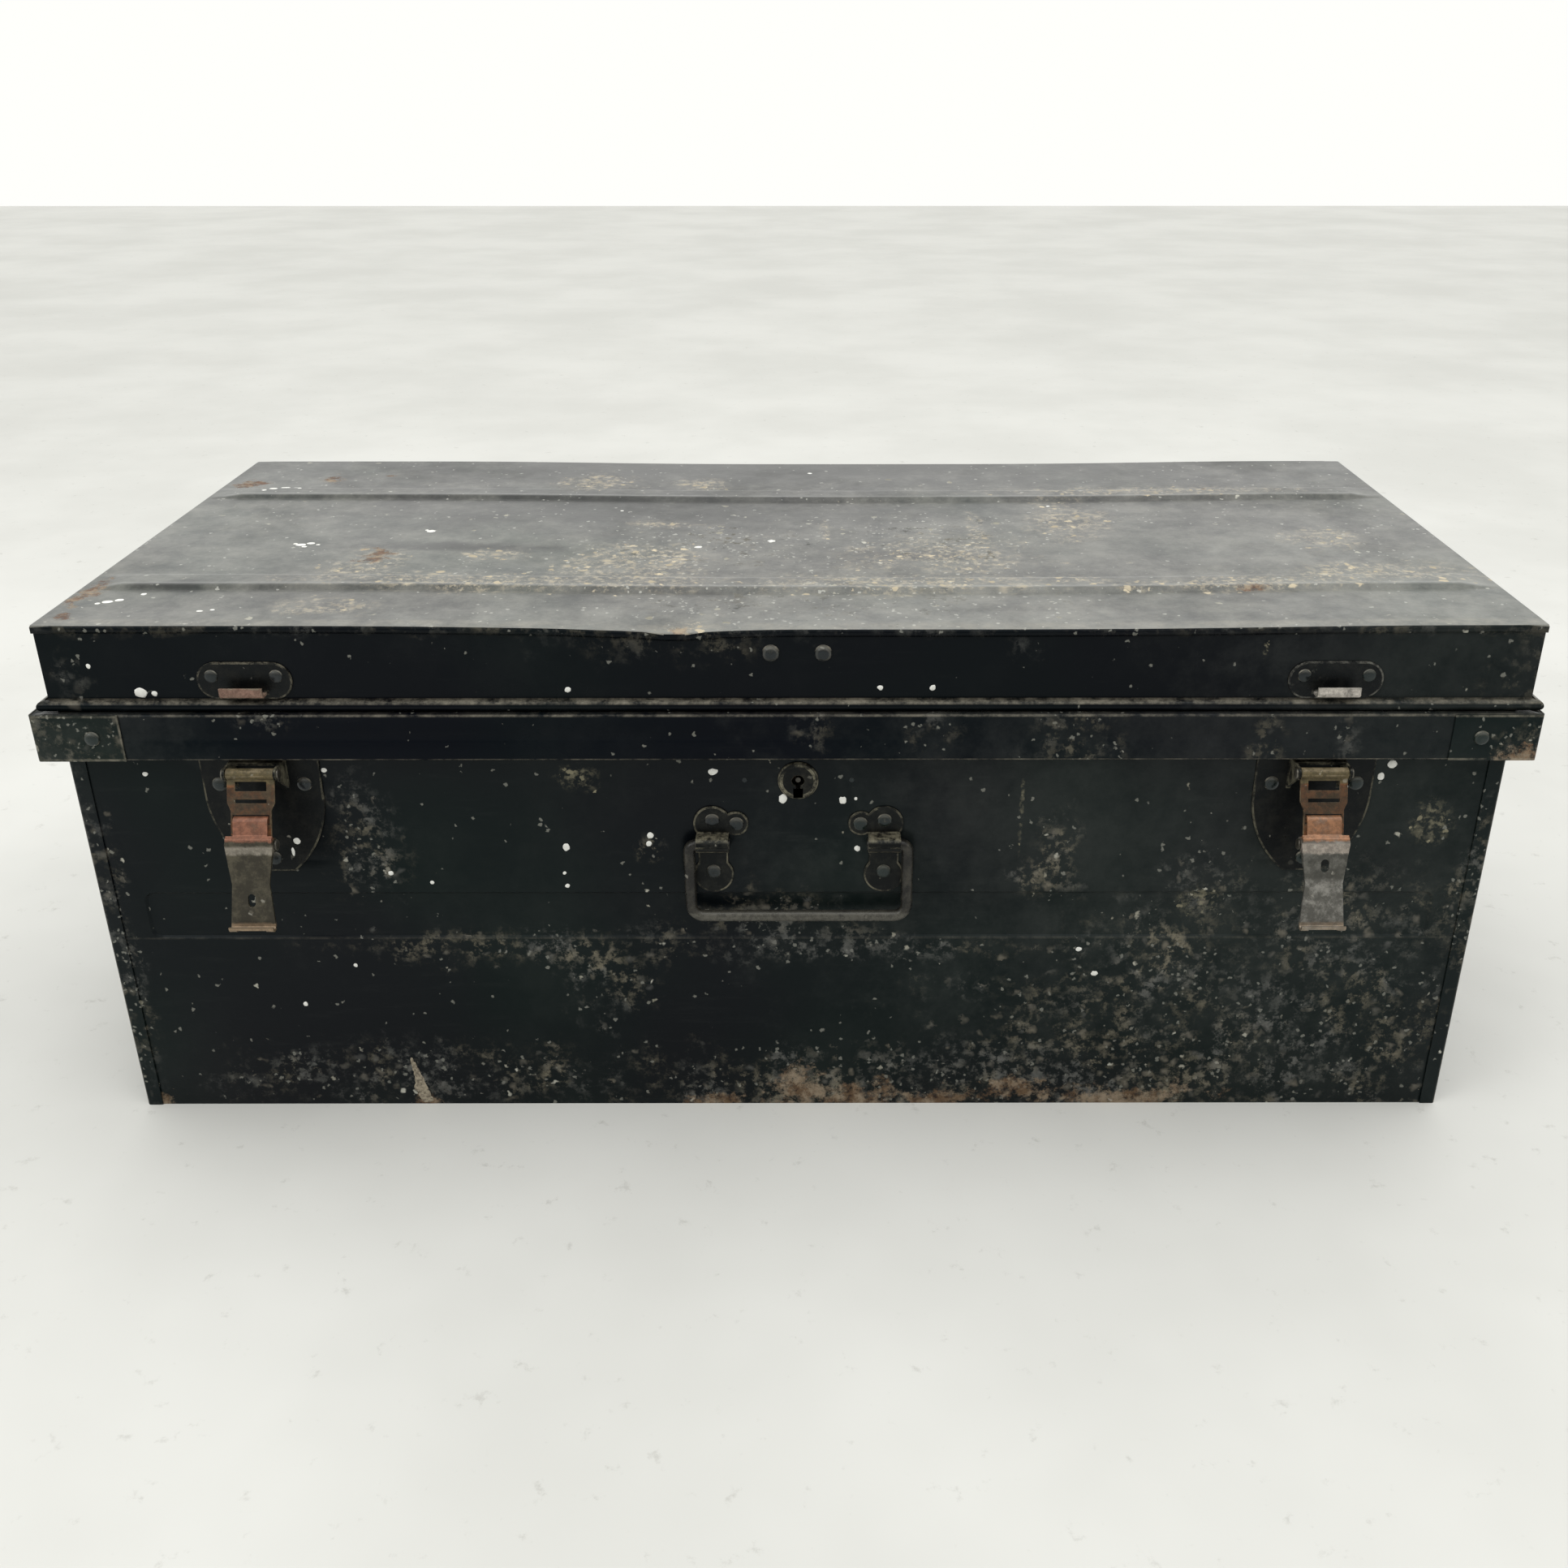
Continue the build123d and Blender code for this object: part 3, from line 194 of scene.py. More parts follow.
# --- Enamelled sheet: walls, ends and bottom ------------------------------------------------------
# Tinplate folded up and stoved with black enamel. Years of use have left hazy scuffs, fine
# chips down to a pale undercoat, and rust that creeps up from the bottom edge.
haze_tone, dust_tone = (0.19, 0.20, 0.185), (0.41, 0.40, 0.35)
undercoat_dark, undercoat_pale = (0.25, 0.235, 0.18), (0.55, 0.54, 0.47)
grime_grey, grime_brown = (0.135, 0.135, 0.125), (0.185, 0.165, 0.12)
blot_grey, blot_brown = (0.10, 0.10, 0.095), (0.22, 0.195, 0.15)
rust_black, rust_beige = (0.035, 0.014, 0.008), (0.30, 0.235, 0.165)
# tones of rubbed edges, also used for painted highlights along edges, and of the painted highlight on domed
# heads
rubbed_edge_and_highlight_tone, crown_highlight_tone = (0.33, 0.30, 0.235), (0.33, 0.31, 0.26)
large_chip, small_chip, blot_size = 0.0068, 0.0033, 0.0095
cool_sheen = (0.86, 0.95, 1.0)


def ragged_edge(tree, where, scale):
    """A vector that wanders round zero, to tear the outlines of marks."""
    wander = add_node(tree, "ShaderNodeTexNoise", Vector=where, Scale=scale, Detail=6.0, Roughness=0.72)
    centred = add_node(tree, "ShaderNodeVectorMath", operation="MULTIPLY_ADD", in0=wander.outputs["Color"])
    centred.inputs[1].default_value = (3.0, 3.0, 3.0)
    centred.inputs[2].default_value = (-1.5, -1.5, -1.5)
    return centred.outputs[0]


def larger(tree, first, second):
    return math_node(tree, "MAXIMUM", first, second)


def marks(tree, where, ragged, places):
    """1 in the middle of each mark, 0 outside; a mark is a place, a radius and a squeeze per axis."""
    total = None
    for place, radius, squeeze in places:
        local = add_node(tree, "ShaderNodeVectorMath", operation="MULTIPLY_ADD", in0=where, in1=squeeze)
        local.inputs[2].default_value = [-a * b for a, b in zip(place, squeeze)]
        torn = add_node(tree, "ShaderNodeVectorMath", operation="MULTIPLY_ADD", in0=ragged,
                        in2=local.outputs[0])
        torn.inputs[1].default_value = (radius * 0.8,) * 3
        away = add_node(tree, "ShaderNodeVectorMath", operation="LENGTH", in0=torn.outputs[0])
        one = ramp(tree, away.outputs["Value"], radius * 1.15, radius * 0.15)
        total = one if total is None else larger(tree, total, one)
    return total


def flecks(tree, where, cell, share, largest=0.34, crisp=9.0):
    """Ragged little chips, one in a share of the cells, each of its own size."""
    wobble = add_node(tree, "ShaderNodeTexNoise", Vector=where, Scale=1.3 / cell, Detail=2.0)
    moved = add_node(tree, "ShaderNodeVectorMath", operation="MULTIPLY_ADD", in0=wobble.outputs["Color"],
                     in2=where)
    moved.inputs[1].default_value = (cell * 1.1,) * 3
    cells = add_node(tree, "ShaderNodeTexVoronoi", Vector=moved.outputs[0], Scale=1.0 / cell)
    pick = add_node(tree, "ShaderNodeSeparateColor", in0=cells.outputs["Color"])
    chosen = math_node(tree, "LESS_THAN", pick.outputs["Red"], share)
    size = math_node(tree, "MULTIPLY_ADD", pick.outputs["Green"], largest, 0.05)
    edge = add_node(tree, "ShaderNodeMath", operation="MULTIPLY", use_clamp=True, in1=crisp,
                    in0=math_node(tree, "SUBTRACT", size, cells.outputs["Distance"]))
    return times(tree, chosen, edge.outputs[0]), pick.outputs["Blue"]


def sides(tree, coords, facing):
    """How far the surface turns away from the way the piece faces: 0 on its face, 1 on its edge."""
    turned = add_node(tree, "ShaderNodeSeparateXYZ", Vector=coords.outputs["Normal"])
    if facing is not None:
        return math_node(tree, "SUBTRACT", 1.0, math_node(tree, "ABSOLUTE", turned.outputs[facing]))
    parts = [math_node(tree, "ABSOLUTE", turned.outputs[axis]) for axis in range(3)]
    most = larger(tree, parts[0], larger(tree, parts[1], parts[2]))
    return math_node(tree, "SUBTRACT", 1.0, most)


def enamel(name, black, specular, gloss, haze=0.06, specks=0.5, speck_tone=(0.27, 0.27, 0.235), dust=0.0,
           veil=(), veil_strength=0.14, smudges=(), grime=(), grime_strength=0.6, tan=(), tan_strength=0.6,
           tan_tone=(0.44, 0.40, 0.27), tan_cell=0.0042, rust=(), rust_tone=(0.23, 0.115, 0.055), lines=(),
           torn_lines=0.6, edge=None, crown_highlight=0.0, sheen=cool_sheen, wiping=(6.0, 60.0, 60.0)):
    """Black stoving enamel with its wear. veil, smudges, grime, tan and rust list marks; lines lists
    light lines as (axis, place, width), worn enamel that in places is also a painted highlight, and edge
    is (the axis the piece faces, where rubbing starts). crown lightens the upper side of domed heads as a
    painted highlight."""
    material, tree, shader, coords = start_material(name)
    where = coords.outputs["Object"]
    ragged = ragged_edge(tree, where, 38.0)
    # the enamel itself, a little greener or bluer from place to place
    tint = ramp(tree, grain(tree, where, 5.0, 2.0), 0.35, 0.65)
    cool = tuple(c * f for c, f in zip(black, (0.85, 0.95, 1.2)))
    green = tuple(c * f for c, f in zip(black, (0.6, 1.55, 1.25)))
    colour = mix(tree, tint, cool, green)
    # broad hazy scuffs and wiping marks, and places where a grey veil lies over the black
    broad = ramp(tree, grain(tree, where, 11.0, 7.0, 0.7), 0.45, 0.75)
    wiped = add_node(tree, "ShaderNodeMapping", Vector=where)
    wiped.inputs["Rotation"].default_value = (0.0, 0.25, 0.2)
    wiped.inputs["Scale"].default_value = wiping
    streak = ramp(tree, grain(tree, wiped.outputs[0], 2.5, 6.0, 0.75), 0.52, 0.82)
    dull = times(tree, larger(tree, broad, streak), haze)
    if veil:
        cloudy = math_node(tree, "MULTIPLY_ADD", grain(tree, where, 50.0, 6.0, 0.7), veil_strength,
                           -0.1 * veil_strength)
        dull = math_node(tree, "MULTIPLY_ADD", marks(tree, where, ragged, veil), cloudy, dull)
    colour = mix(tree, dull, colour, haze_tone)
    if dust:
        film = times(tree, ramp(tree, grain(tree, where, 30.0, 8.0, 0.8), 0.25, 0.8), dust)
        colour = mix(tree, film, colour, dust_tone)
    if smudges:
        # the dust has been wiped off here
        smudge = marks(tree, where, ragged, smudges)
        colour = mix(tree, times(tree, smudge, 0.9), colour, black)
    # chips, thin everywhere and crowded where the sheet is grimy
    crowd = ramp(tree, grain(tree, where, 16.0, 6.0, 0.75), 0.46, 0.78)
    dirty = None
    if grime:
        dirty = marks(tree, where, ragged, grime)
        crowd = math_node(tree, "MULTIPLY_ADD", dirty, 1.3, crowd)
    few = math_node(tree, "MULTIPLY_ADD", crowd, 0.085 * specks, 0.011 * specks)
    many = math_node(tree, "MULTIPLY_ADD", crowd, 0.32 * specks, 0.050 * specks)
    large, shade = flecks(tree, where, large_chip, few)
    small, _ = flecks(tree, where, small_chip, many)
    chalk = mix(tree, shade, undercoat_dark, undercoat_pale)
    colour = mix(tree, times(tree, small, 0.50), colour, speck_tone)
    colour = mix(tree, times(tree, large, 0.75), colour, chalk)
    rough = math_node(tree, "MULTIPLY_ADD", broad, 0.14, gloss)
    rough = larger(tree, rough, times(tree, large, 0.7))
    if grime:
        mottle = ramp(tree, grain(tree, where, 135.0, 5.0, 0.7), 0.47, 0.61)
        patchy = ramp(tree, grain(tree, where, 40.0, 5.0, 0.7), 0.36, 0.64)
        bare = times(tree, dirty, times(tree, mottle, patchy))
        soiled = mix(tree, ramp(tree, grain(tree, where, 25.0, 3.0), 0.42, 0.58), grime_grey, grime_brown)
        colour = mix(tree, times(tree, bare, grime_strength), colour, soiled)
        rough = larger(tree, rough, times(tree, bare, 0.8))
        blot, tone = flecks(tree, where, blot_size, dirty, 0.40, crisp=3.5)
        colour = mix(tree, times(tree, blot, 0.62 * grime_strength), colour,
                     mix(tree, tone, blot_grey, blot_brown))
    if tan:
        # yellowish stains, as crumbs, soft flecks and a faint speckle between them
        field = marks(tree, where, ragged, tan)
        speckle = ramp(tree, grain(tree, where, 230.0, 5.0, 0.75), 0.46, 0.64)
        crumbs, shade = flecks(tree, where, tan_cell, times(tree, field, 0.65), 0.42)
        faint = times(tree, times(tree, field, speckle), 0.70)
        soft, _ = flecks(tree, where, tan_cell * 1.7, field, 0.42, crisp=3.0)
        yellow = larger(tree, times(tree, soft, 0.7), larger(tree, faint, crumbs))
        colour = mix(tree, times(tree, yellow, tan_strength), colour,
                     mix(tree, shade, tuple(c * 0.62 for c in tan_tone), tan_tone))
        rough = larger(tree, rough, times(tree, yellow, 0.8))
    height = times(tree, large, -0.5)
    if rust:
        # rust eats in from torn outlines: dark at its rim, brown and beige inside
        fine = grain(tree, where, 170.0, 9.0, 0.8)
        field = marks(tree, where, ragged, rust)
        eaten = ramp(tree, math_node(tree, "MULTIPLY_ADD", field, 0.46, fine), 0.76, 0.98)
        brown = mix(tree, ramp(tree, fine, 0.36, 0.58), rust_black, rust_tone)
        patches = ramp(tree, grain(tree, where, 80.0, 6.0, 0.75), 0.42, 0.60)
        colour = mix(tree, times(tree, eaten, 0.80), colour, mix(tree, patches, brown, rust_beige))
        rough = larger(tree, rough, times(tree, eaten, 0.85))
        height = math_node(tree, "MULTIPLY_ADD", eaten, -0.8, height)
    # edges rubbed to grey metal in broken lines; along some edges that face upward these lines are painted
    # highlights as well
    rubbed_and_highlit = []
    if lines:
        axes = add_node(tree, "ShaderNodeSeparateXYZ", Vector=where)
        for axis, place, width in lines:
            off = math_node(tree, "ABSOLUTE", math_node(tree, "SUBTRACT", axes.outputs[axis], place))
            rubbed_and_highlit.append(ramp(tree, off, width, width * 0.3))
    if edge is not None:
        rubbed_and_highlit.append(ramp(tree, sides(tree, coords, edge[0]), edge[1], edge[1] + 0.25))
    if rubbed_and_highlit:
        total = rubbed_and_highlit[0]
        for part in rubbed_and_highlit[1:]:
            total = larger(tree, total, part)
        torn = ramp(tree, grain(tree, where, 70.0, 8.0, 0.8), 0.36, 0.70)
        worn = times(tree, total, times(tree, torn, torn_lines))
        colour = mix(tree, worn, colour, rubbed_edge_and_highlight_tone)
    if crown_highlight:
        # painted highlight: domed heads are lightened on their upward-facing side
        up = add_node(tree, "ShaderNodeSeparateXYZ", Vector=coords.outputs["Normal"]).outputs[2]
        colour = mix(tree, ramp(tree, up, 0.05, 0.75, 0.0, crown_highlight), colour, crown_highlight_tone)
    tree.links.new(colour, shader.inputs["Base Color"])
    tree.links.new(rough, shader.inputs["Roughness"])
    shader.inputs["Specular IOR Level"].default_value = specular
    shader.inputs["Specular Tint"].default_value = (*sheen, 1.0)
    # thin sheet is never flat: slow waves, then the orange peel of the enamel, then chips and rust
    slow = add_node(tree, "ShaderNodeBump", Height=grain(tree, where, 7.0, 2.0, 0.5), Strength=0.35,
                    Distance=0.006)
    peel = add_node(tree, "ShaderNodeBump", Height=grain(tree, where, 300.0, 3.0), Strength=0.12,
                    Distance=0.0006, Normal=slow.outputs[0])
    last = add_node(tree, "ShaderNodeBump", Height=height, Strength=0.5, Distance=0.0004,
                    Normal=peel.outputs[0])
    tree.links.new(last.outputs[0], shader.inputs["Normal"])
    return material


flat_turn, sharp_turn, crease_turn = (math.radians(turn) for turn in (0.6, 28.0, 35.0))


def soften(node, width, segments=2, outline=0.0, hole=0.0):
    """Stands in for a CAD node: the same solid with its sharp edges rounded over by width.
    outline marks a narrow band round its front, and not round a middle hole, where enamel wears first."""
    source = nodes[node]
    data = source.data.copy()
    shape = bmesh.new()
    shape.from_mesh(data)
    bmesh.ops.remove_doubles(shape, verts=shape.verts, dist=1e-6)
    bmesh.ops.dissolve_limit(shape, angle_limit=flat_turn, verts=shape.verts, edges=shape.edges)
    band = shape.faces.layers.float.new("outline")
    if outline:
        front = [face for face in shape.faces if face.normal.y < -0.99]
        ring = bmesh.ops.inset_region(shape, faces=front, thickness=outline, use_boundary=True,
                                      use_even_offset=False)
        middle = (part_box(node)[0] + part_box(node)[1]) / 2
        for face in ring["faces"]:
            face[band] = float((face.calc_center_median() - middle).length > hole)
    if width:
        sharp = [edge for edge in shape.edges
                 if len(edge.link_faces) == 2 and edge.calc_face_angle(0.0) > sharp_turn]
        bmesh.ops.bevel(shape, geom=sharp, offset=width, segments=segments, affect="EDGES", profile=0.5,
                        material=-1, clamp_overlap=True)
    for face in shape.faces:
        face.smooth = True
    for edge in shape.edges:
        edge.smooth = not (len(edge.link_faces) == 2 and edge.calc_face_angle(0.0) > crease_turn)
    bmesh.ops.triangulate(shape, faces=[face for face in shape.faces if len(face.verts) > 4])
    shape.to_mesh(data)
    shape.free()
    data.materials.clear()
    piece = bpy.data.objects.new(node + "_piece", data)
    scene.collection.objects.link(piece)
    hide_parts(node)
    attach(piece, source["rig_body"])
    return piece


def finish_with(pieces, material):
    """Gives the pieces their finish."""
    for piece in pieces:
        piece.data.materials.append(material)


front_enamel = enamel(
    "black enamel, front wall", (0.0030, 0.0034, 0.0038), specular=0.135, gloss=0.28, haze=0.03, specks=0.8,
    veil=(
        ((0.24, 0.0, 0.17), 0.20, (0.8, 0.0, 1.2)), ((0.12, 0.0, 0.19), 0.07, (0.7, 0.0, 1.2)),
    ),
    grime_strength=0.85, tan_strength=0.5, rust_tone=(0.15, 0.095, 0.055),
    grime=(
        ((0.235, 0.0, 0.030), 0.130, (0.75, 0.0, 1.6)), ((0.200, 0.0, 0.098), 0.055, (1.0, 0.0, 1.2)),
        ((0.270, 0.0, 0.055), 0.060, (0.9, 0.0, 1.4)),
        ((0.130, 0.0, 0.025), 0.080, (0.8, 0.0, 1.8)), ((0.030, 0.0, 0.010), 0.080, (0.5, 0.0, 2.4)),
        ((0.141, 0.0, 0.151), 0.022, (1.0, 0.0, 1.2)), ((0.226, 0.0, 0.142), 0.030, (1.0, 0.0, 1.0)),
        ((0.330, 0.0, 0.060), 0.060, (1.0, 0.0, 1.0)), ((-0.130, 0.0, 0.108), 0.070, (0.6, 0.0, 5.0)),
        ((0.05, 0.0, 0.108), 0.060, (0.6, 0.0, 5.0)), ((-0.230, 0.0, 0.175), 0.035, (1.4, 0.0, 0.8)),
        ((-0.210, 0.0, 0.020), 0.080, (0.6, 0.0, 3.0)), ((0.300, 0.0, 0.12), 0.06, (0.8, 0.0, 1.2)),
        ((0.146, 0.0, 0.176), 0.020, (1.2, 0.0, 1.0)), ((-0.075, 0.0, 0.17), 0.010, (1.0, 0.0, 1.0)),
        ((0.0, 0.0, 0.125), 0.050, (0.7, 0.0, 2.4)), ((-0.105, 0.0, 0.085), 0.030, (1.0, 0.0, 1.0)),
        ((0.371, 0.0, 0.14), 0.03, (2.0, 0.0, 1.0)), ((-0.371, 0.0, 0.10), 0.08, (9.0, 0.0, 0.7)),
    ),
    tan=(((0.347, 0.0, 0.186), 0.014, (1.0, 0.0, 1.0)), ((0.226, 0.0, 0.138), 0.014, (1.0, 0.0, 1.0)),
         ((-0.111, 0.0, 0.213), 0.012, (0.8, 0.0, 1.6)), ((0.256, 0.0, 0.205), 0.012, (1.4, 0.0, 0.8)),
         ((0.125, 0.0, 0.192), 0.026, (18.0, 0.0, 1.0)),
         ((0.286, 0.0, 0.195), 0.014, (1.3, 0.0, 0.9))),
    rust=(
        ((0.007, 0.0, 0.012), 0.040, (1.3, 0.0, 1.7)), ((0.031, 0.0, 0.004), 0.050, (0.7, 0.0, 2.6)),
        ((0.131, 0.0, 0.008), 0.040, (0.8, 0.0, 2.2)), ((0.090, 0.0, 0.004), 0.030, (0.7, 0.0, 2.6)),
        ((-0.045, 0.0, 0.002), 0.030, (0.9, 0.0, 3.0)), ((0.200, 0.0, 0.004), 0.040, (0.6, 0.0, 2.4)),
        ((-0.214, 0.0, 0.001), 0.012, (1.0, 0.0, 1.0)), ((-0.372, 0.0, 0.002), 0.018, (1.0, 0.0, 1.4)),
    ),
    # painted highlight: a faint light line along the lower edge of the pressed band
    lines=((2, 0.1135, 0.0009),), torn_lines=0.10,
)
back_enamel = enamel(
    "black enamel, back wall", (0.0036, 0.0040, 0.0044), specular=0.17, gloss=0.32, haze=0.04, specks=0.7,
    rust=(((0.20, 0.171, 0.002), 0.06, (0.6, 1.0, 2.4)), ((-0.15, 0.171, 0.002), 0.05, (0.7, 1.0, 2.6))),
    grime=(((-0.20, 0.171, 0.05), 0.11, (0.7, 1.0, 1.3)), ((0.26, 0.171, 0.10), 0.07, (1.0, 1.0, 1.0)),
           ((0.02, 0.171, 0.20), 0.08, (0.6, 1.0, 1.6))),
)
pan_enamel = enamel(
    "black enamel, bottom pan", (0.0046, 0.0050, 0.0052), specular=0.20, gloss=0.38, haze=0.06, specks=0.6,
    grime=(((0.22, -0.06, 0.0), 0.10, (0.7, 1.2, 0.0)), ((-0.16, 0.08, 0.0), 0.09, (0.7, 1.2, 0.0))),
    rust=(((0.36, 0.15, 0.0), 0.06, (0.8, 1.0, 0.0)), ((-0.36, -0.15, 0.0), 0.05, (0.8, 1.0, 0.0))),
)
end_enamel = enamel(
    "black enamel, end walls", (0.0034, 0.0038, 0.0042), specular=0.15, gloss=0.30, haze=0.04, specks=0.8,
    rust=(((0.38, -0.03, 0.002), 0.05, (1.0, 0.7, 2.4)), ((-0.38, 0.06, 0.002), 0.06, (1.0, 0.6, 2.4))),
    grime=(((0.380, -0.171, 0.145), 0.060, (1.0, 1.0, 0.8)), ((0.38, 0.04, 0.05), 0.08, (1.0, 0.8, 1.4)),
           ((-0.38, -0.05, 0.05), 0.09, (1.0, 0.8, 1.4)), ((-0.380, -0.171, 0.110), 0.100, (1.0, 1.0, 0.7))),
    edge=(None, 0.04), torn_lines=0.5,
)

pressed_round, cut_round = 0.0012, 0.0003
front_wall = soften("front_panel", pressed_round, segments=3)
back_wall = soften("back_panel", pressed_round, segments=3)
end_walls = [soften(f"{side}_end_panel", cut_round, segments=1) for side in ("left", "right")]
finish_with([front_wall], front_enamel)
finish_with([back_wall], back_enamel)
finish_with([soften("bottom_pan", cut_round, segments=1)], pan_enamel)
finish_with(end_walls, end_enamel)

# --- Rim --------------------------------------------------------------------------------------
# Channel strips of the same sheet, folded round the top of the walls and mitred, with plates
# riveted over the corners. The edges and the corner plates have lost much of their enamel; the light
# line along the top edge is a painted highlight as well.
rim_enamel = enamel(
    "black enamel, rim", (0.0018, 0.0023, 0.0038), specular=0.075, gloss=0.22, haze=0.02, specks=0.9,
    veil=(((0.26, -0.18, 0.24), 0.24, (0.9, 0.2, 0.2)), ((-0.36, -0.18, 0.24), 0.05, (0.9, 0.2, 0.2))),
    grime_strength=0.45,
    grime=(((0.147, -0.180, 0.238), 0.026, (1.0, 0.2, 1.0)), ((0.248, -0.180, 0.238), 0.012, (1.0, 0.2, 0.5)),
           ((0.290, -0.180, 0.240), 0.010, (1.0, 0.2, 0.5)), ((-0.269, -0.180, 0.250), 0.018, (1.0, 0.2, 2.0)),
           ((0.012, -0.180, 0.246), 0.016, (1.2, 0.2, 1.0)), ((0.075, -0.180, 0.240), 0.020, (1.4, 0.2, 1.0))),
    # light lines along the rim's top and lower edges: worn enamel, and the top one is also a painted highlight
    lines=((2, 0.2523, 0.0009), (2, 0.2276, 0.0007)), torn_lines=0.42,
)
fold_round = 0.0004
finish_with([soften(f"rim_{side}", fold_round) for side in ("front", "back", "left", "right")],
            rim_enamel)

# Along their top and lower edges the corner plates carry on the rim's lines; the top one is worn enamel with a
# painted highlight.
tan_plate = enamel(
    "worn corner plate", (0.0065, 0.0060, 0.0055), specular=0.15, gloss=0.42, haze=0.10, specks=1.3,
    grime=(((-0.370, -0.181, 0.240), 0.060, (1.0, 1.0, 1.0)), ((0.39, 0.18, 0.24), 0.04, (1.0, 1.0, 1.0)),
           ((-0.39, 0.18, 0.24), 0.04, (1.0, 1.0, 1.0))),
    lines=((2, 0.2522, 0.0009), (2, 0.2279, 0.0009), (0, -0.3441, 0.0013)), torn_lines=0.5,
)
rusty_plate = enamel(
    "corner plate with a rusty corner", (0.0034, 0.0038, 0.0043), specular=0.16, gloss=0.34, haze=0.05,
    specks=1.6, grime_strength=0.5, grime=(((0.385, -0.181, 0.242), 0.020, (1.0, 1.0, 1.0)),),
    rust=(((0.380, -0.181, 0.228), 0.017, (0.8, 1.0, 1.3)),),
    lines=((2, 0.2522, 0.0009), (2, 0.2279, 0.0009)), torn_lines=0.5,
)
tan_corners = ("front_left", "back_left", "back_right")
finish_with([soften(f"corner_plate_{place}", cut_round) for place in tan_corners], tan_plate)
finish_with([soften("corner_plate_front_right", cut_round)], rusty_plate)

# --- Rivets -----------------------------------------------------------------------------------
# Soft steel rivets with low domed heads, enamelled over with the sheet and chipped since, with a
# painted highlight on the upper side of each head.
rivet_enamel = enamel(
    "enamelled rivet", (0.006, 0.006, 0.0058), specular=0.40, gloss=0.24, haze=0.12, specks=1.2,
    edge=(None, 0.06), torn_lines=0.60, crown_highlight=0.28)
finish_with([soften(node, 0.0) for node in sorted(nodes) if node.endswith("rivets")],
            rivet_enamel)

# --- Lid --------------------------------------------------------------------------------------
# One sheet with two ribs pressed up along it, its edge folded down over four walls, whose own
# lower edge is curled round a wire. The top is hazed and dusty, and spotted with rust and paint.
lid_lo, lid_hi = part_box("lid_top")
ribs = (-0.101, 0.088)
rib_rise, rib_width, rib_shoulder, rib_slope = 0.0022, 0.028, 0.0030, 0.0065
crest_share, crest_place, crest_reach = 0.20, 0.0052, 0.0022
rib_end, rib_fade = 0.006, 0.014
sheet_top = lid_hi.z - rib_rise
wave_depth, wave_border = 0.0006, 0.03
sag_depth, sag_middle, sag_reach = 0.0021, 0.05, 0.21
knocks, knock_reach = ((0.0015, -0.057, 0.016, 2), (0.0009, -0.062, 0.046, 4)), 0.018


def sunk(x, y):
    """How far the lid has sunk here: a broad sag along its middle, and a knock in its front edge."""
    sag = sag_depth * math.exp(-(((x - sag_middle) / sag_reach) ** 4))
    knock = sum(depth * math.exp(-(((x - middle) / reach) ** power))
                for depth, middle, reach, power in knocks)
    return sag + knock * math.exp(-(((y - lid_lo.y) / knock_reach) ** 2))


def rib_height(y):
    """Height of a rib at y from its middle: a steep front shoulder with a low crest, a flat, and a
    longer slope at the back."""
    across = y + rib_width / 2
    if across < 0.0 or across > rib_width:
        return 0.0
    front = min(across / rib_shoulder, 1.0)
    back = min((rib_width - across) / rib_slope, 1.0)
    crest = crest_share * math.exp(-(((across - crest_place) / crest_reach) ** 2))
    smooth = front * front * (3 - 2 * front) * back * back * (3 - 2 * back)
    return rib_rise * smooth * (1.0 - crest_share + crest)


def sheet_height(x, y):
    """Height of the top sheet: the ribs fade out before its ends, and it is nowhere quite flat."""
    to_end = min(x - lid_lo.x, lid_hi.x - x)
    fade = min(max((to_end - rib_end) / rib_fade, 0.0), 1.0)
    raised = fade * fade * (3 - 2 * fade) * sum(rib_height(y - rib) for rib in ribs)
    inside = min(to_end, y - lid_lo.y, lid_hi.y - y, wave_border) / wave_border
    waves = wave_depth * inside * (0.5 + 0.5 * noise.noise(Vector((x * 6.0, y * 9.0, 3.0))))
    return sheet_top + raised - waves - sunk(x, y)


sheet_thickness, fold_bend, fold_depth = 0.0007, 0.0009, 0.0050
sheet = bmesh.new()
bmesh.ops.create_grid(sheet, x_segments=72, y_segments=260, size=0.5)
bmesh.ops.scale(sheet, vec=(lid_hi.x - lid_lo.x, lid_hi.y - lid_lo.y, 1.0), verts=sheet.verts)
bmesh.ops.translate(sheet, vec=((lid_lo.x + lid_hi.x) / 2, (lid_lo.y + lid_hi.y) / 2, sheet_top),
                    verts=sheet.verts)
outer_edges = [edge for edge in sheet.edges if edge.is_boundary]
for vert in sheet.verts:
    vert.co.z = sheet_height(vert.co.x, vert.co.y)
folded = bmesh.ops.extrude_edge_only(sheet, edges=outer_edges)
for vert in (part for part in folded["geom"] if isinstance(part, bmesh.types.BMVert)):
    vert.co.z = lid_lo.z - sunk(vert.co.x, vert.co.y)
fold = [edge for edge in sheet.edges if len(edge.link_faces) == 2 and edge.calc_face_angle(0.0) > 1.0
        and (edge.verts[0].co.z + edge.verts[1].co.z) / 2 > sheet_top - fold_depth]
bmesh.ops.bevel(sheet, geom=fold, offset=fold_bend, segments=3, affect="EDGES", profile=0.5, material=-1)
bmesh.ops.recalc_face_normals(sheet, faces=sheet.faces)
for face in sheet.faces:
    face.smooth = True
    face.material_index = 0 if face.normal.z > 0.6 else 1
sheet_data = bpy.data.meshes.new("lid_top_sheet")
sheet.to_mesh(sheet_data)
sheet.free()
lid_top = bpy.data.objects.new("lid_top_sheet", sheet_data)
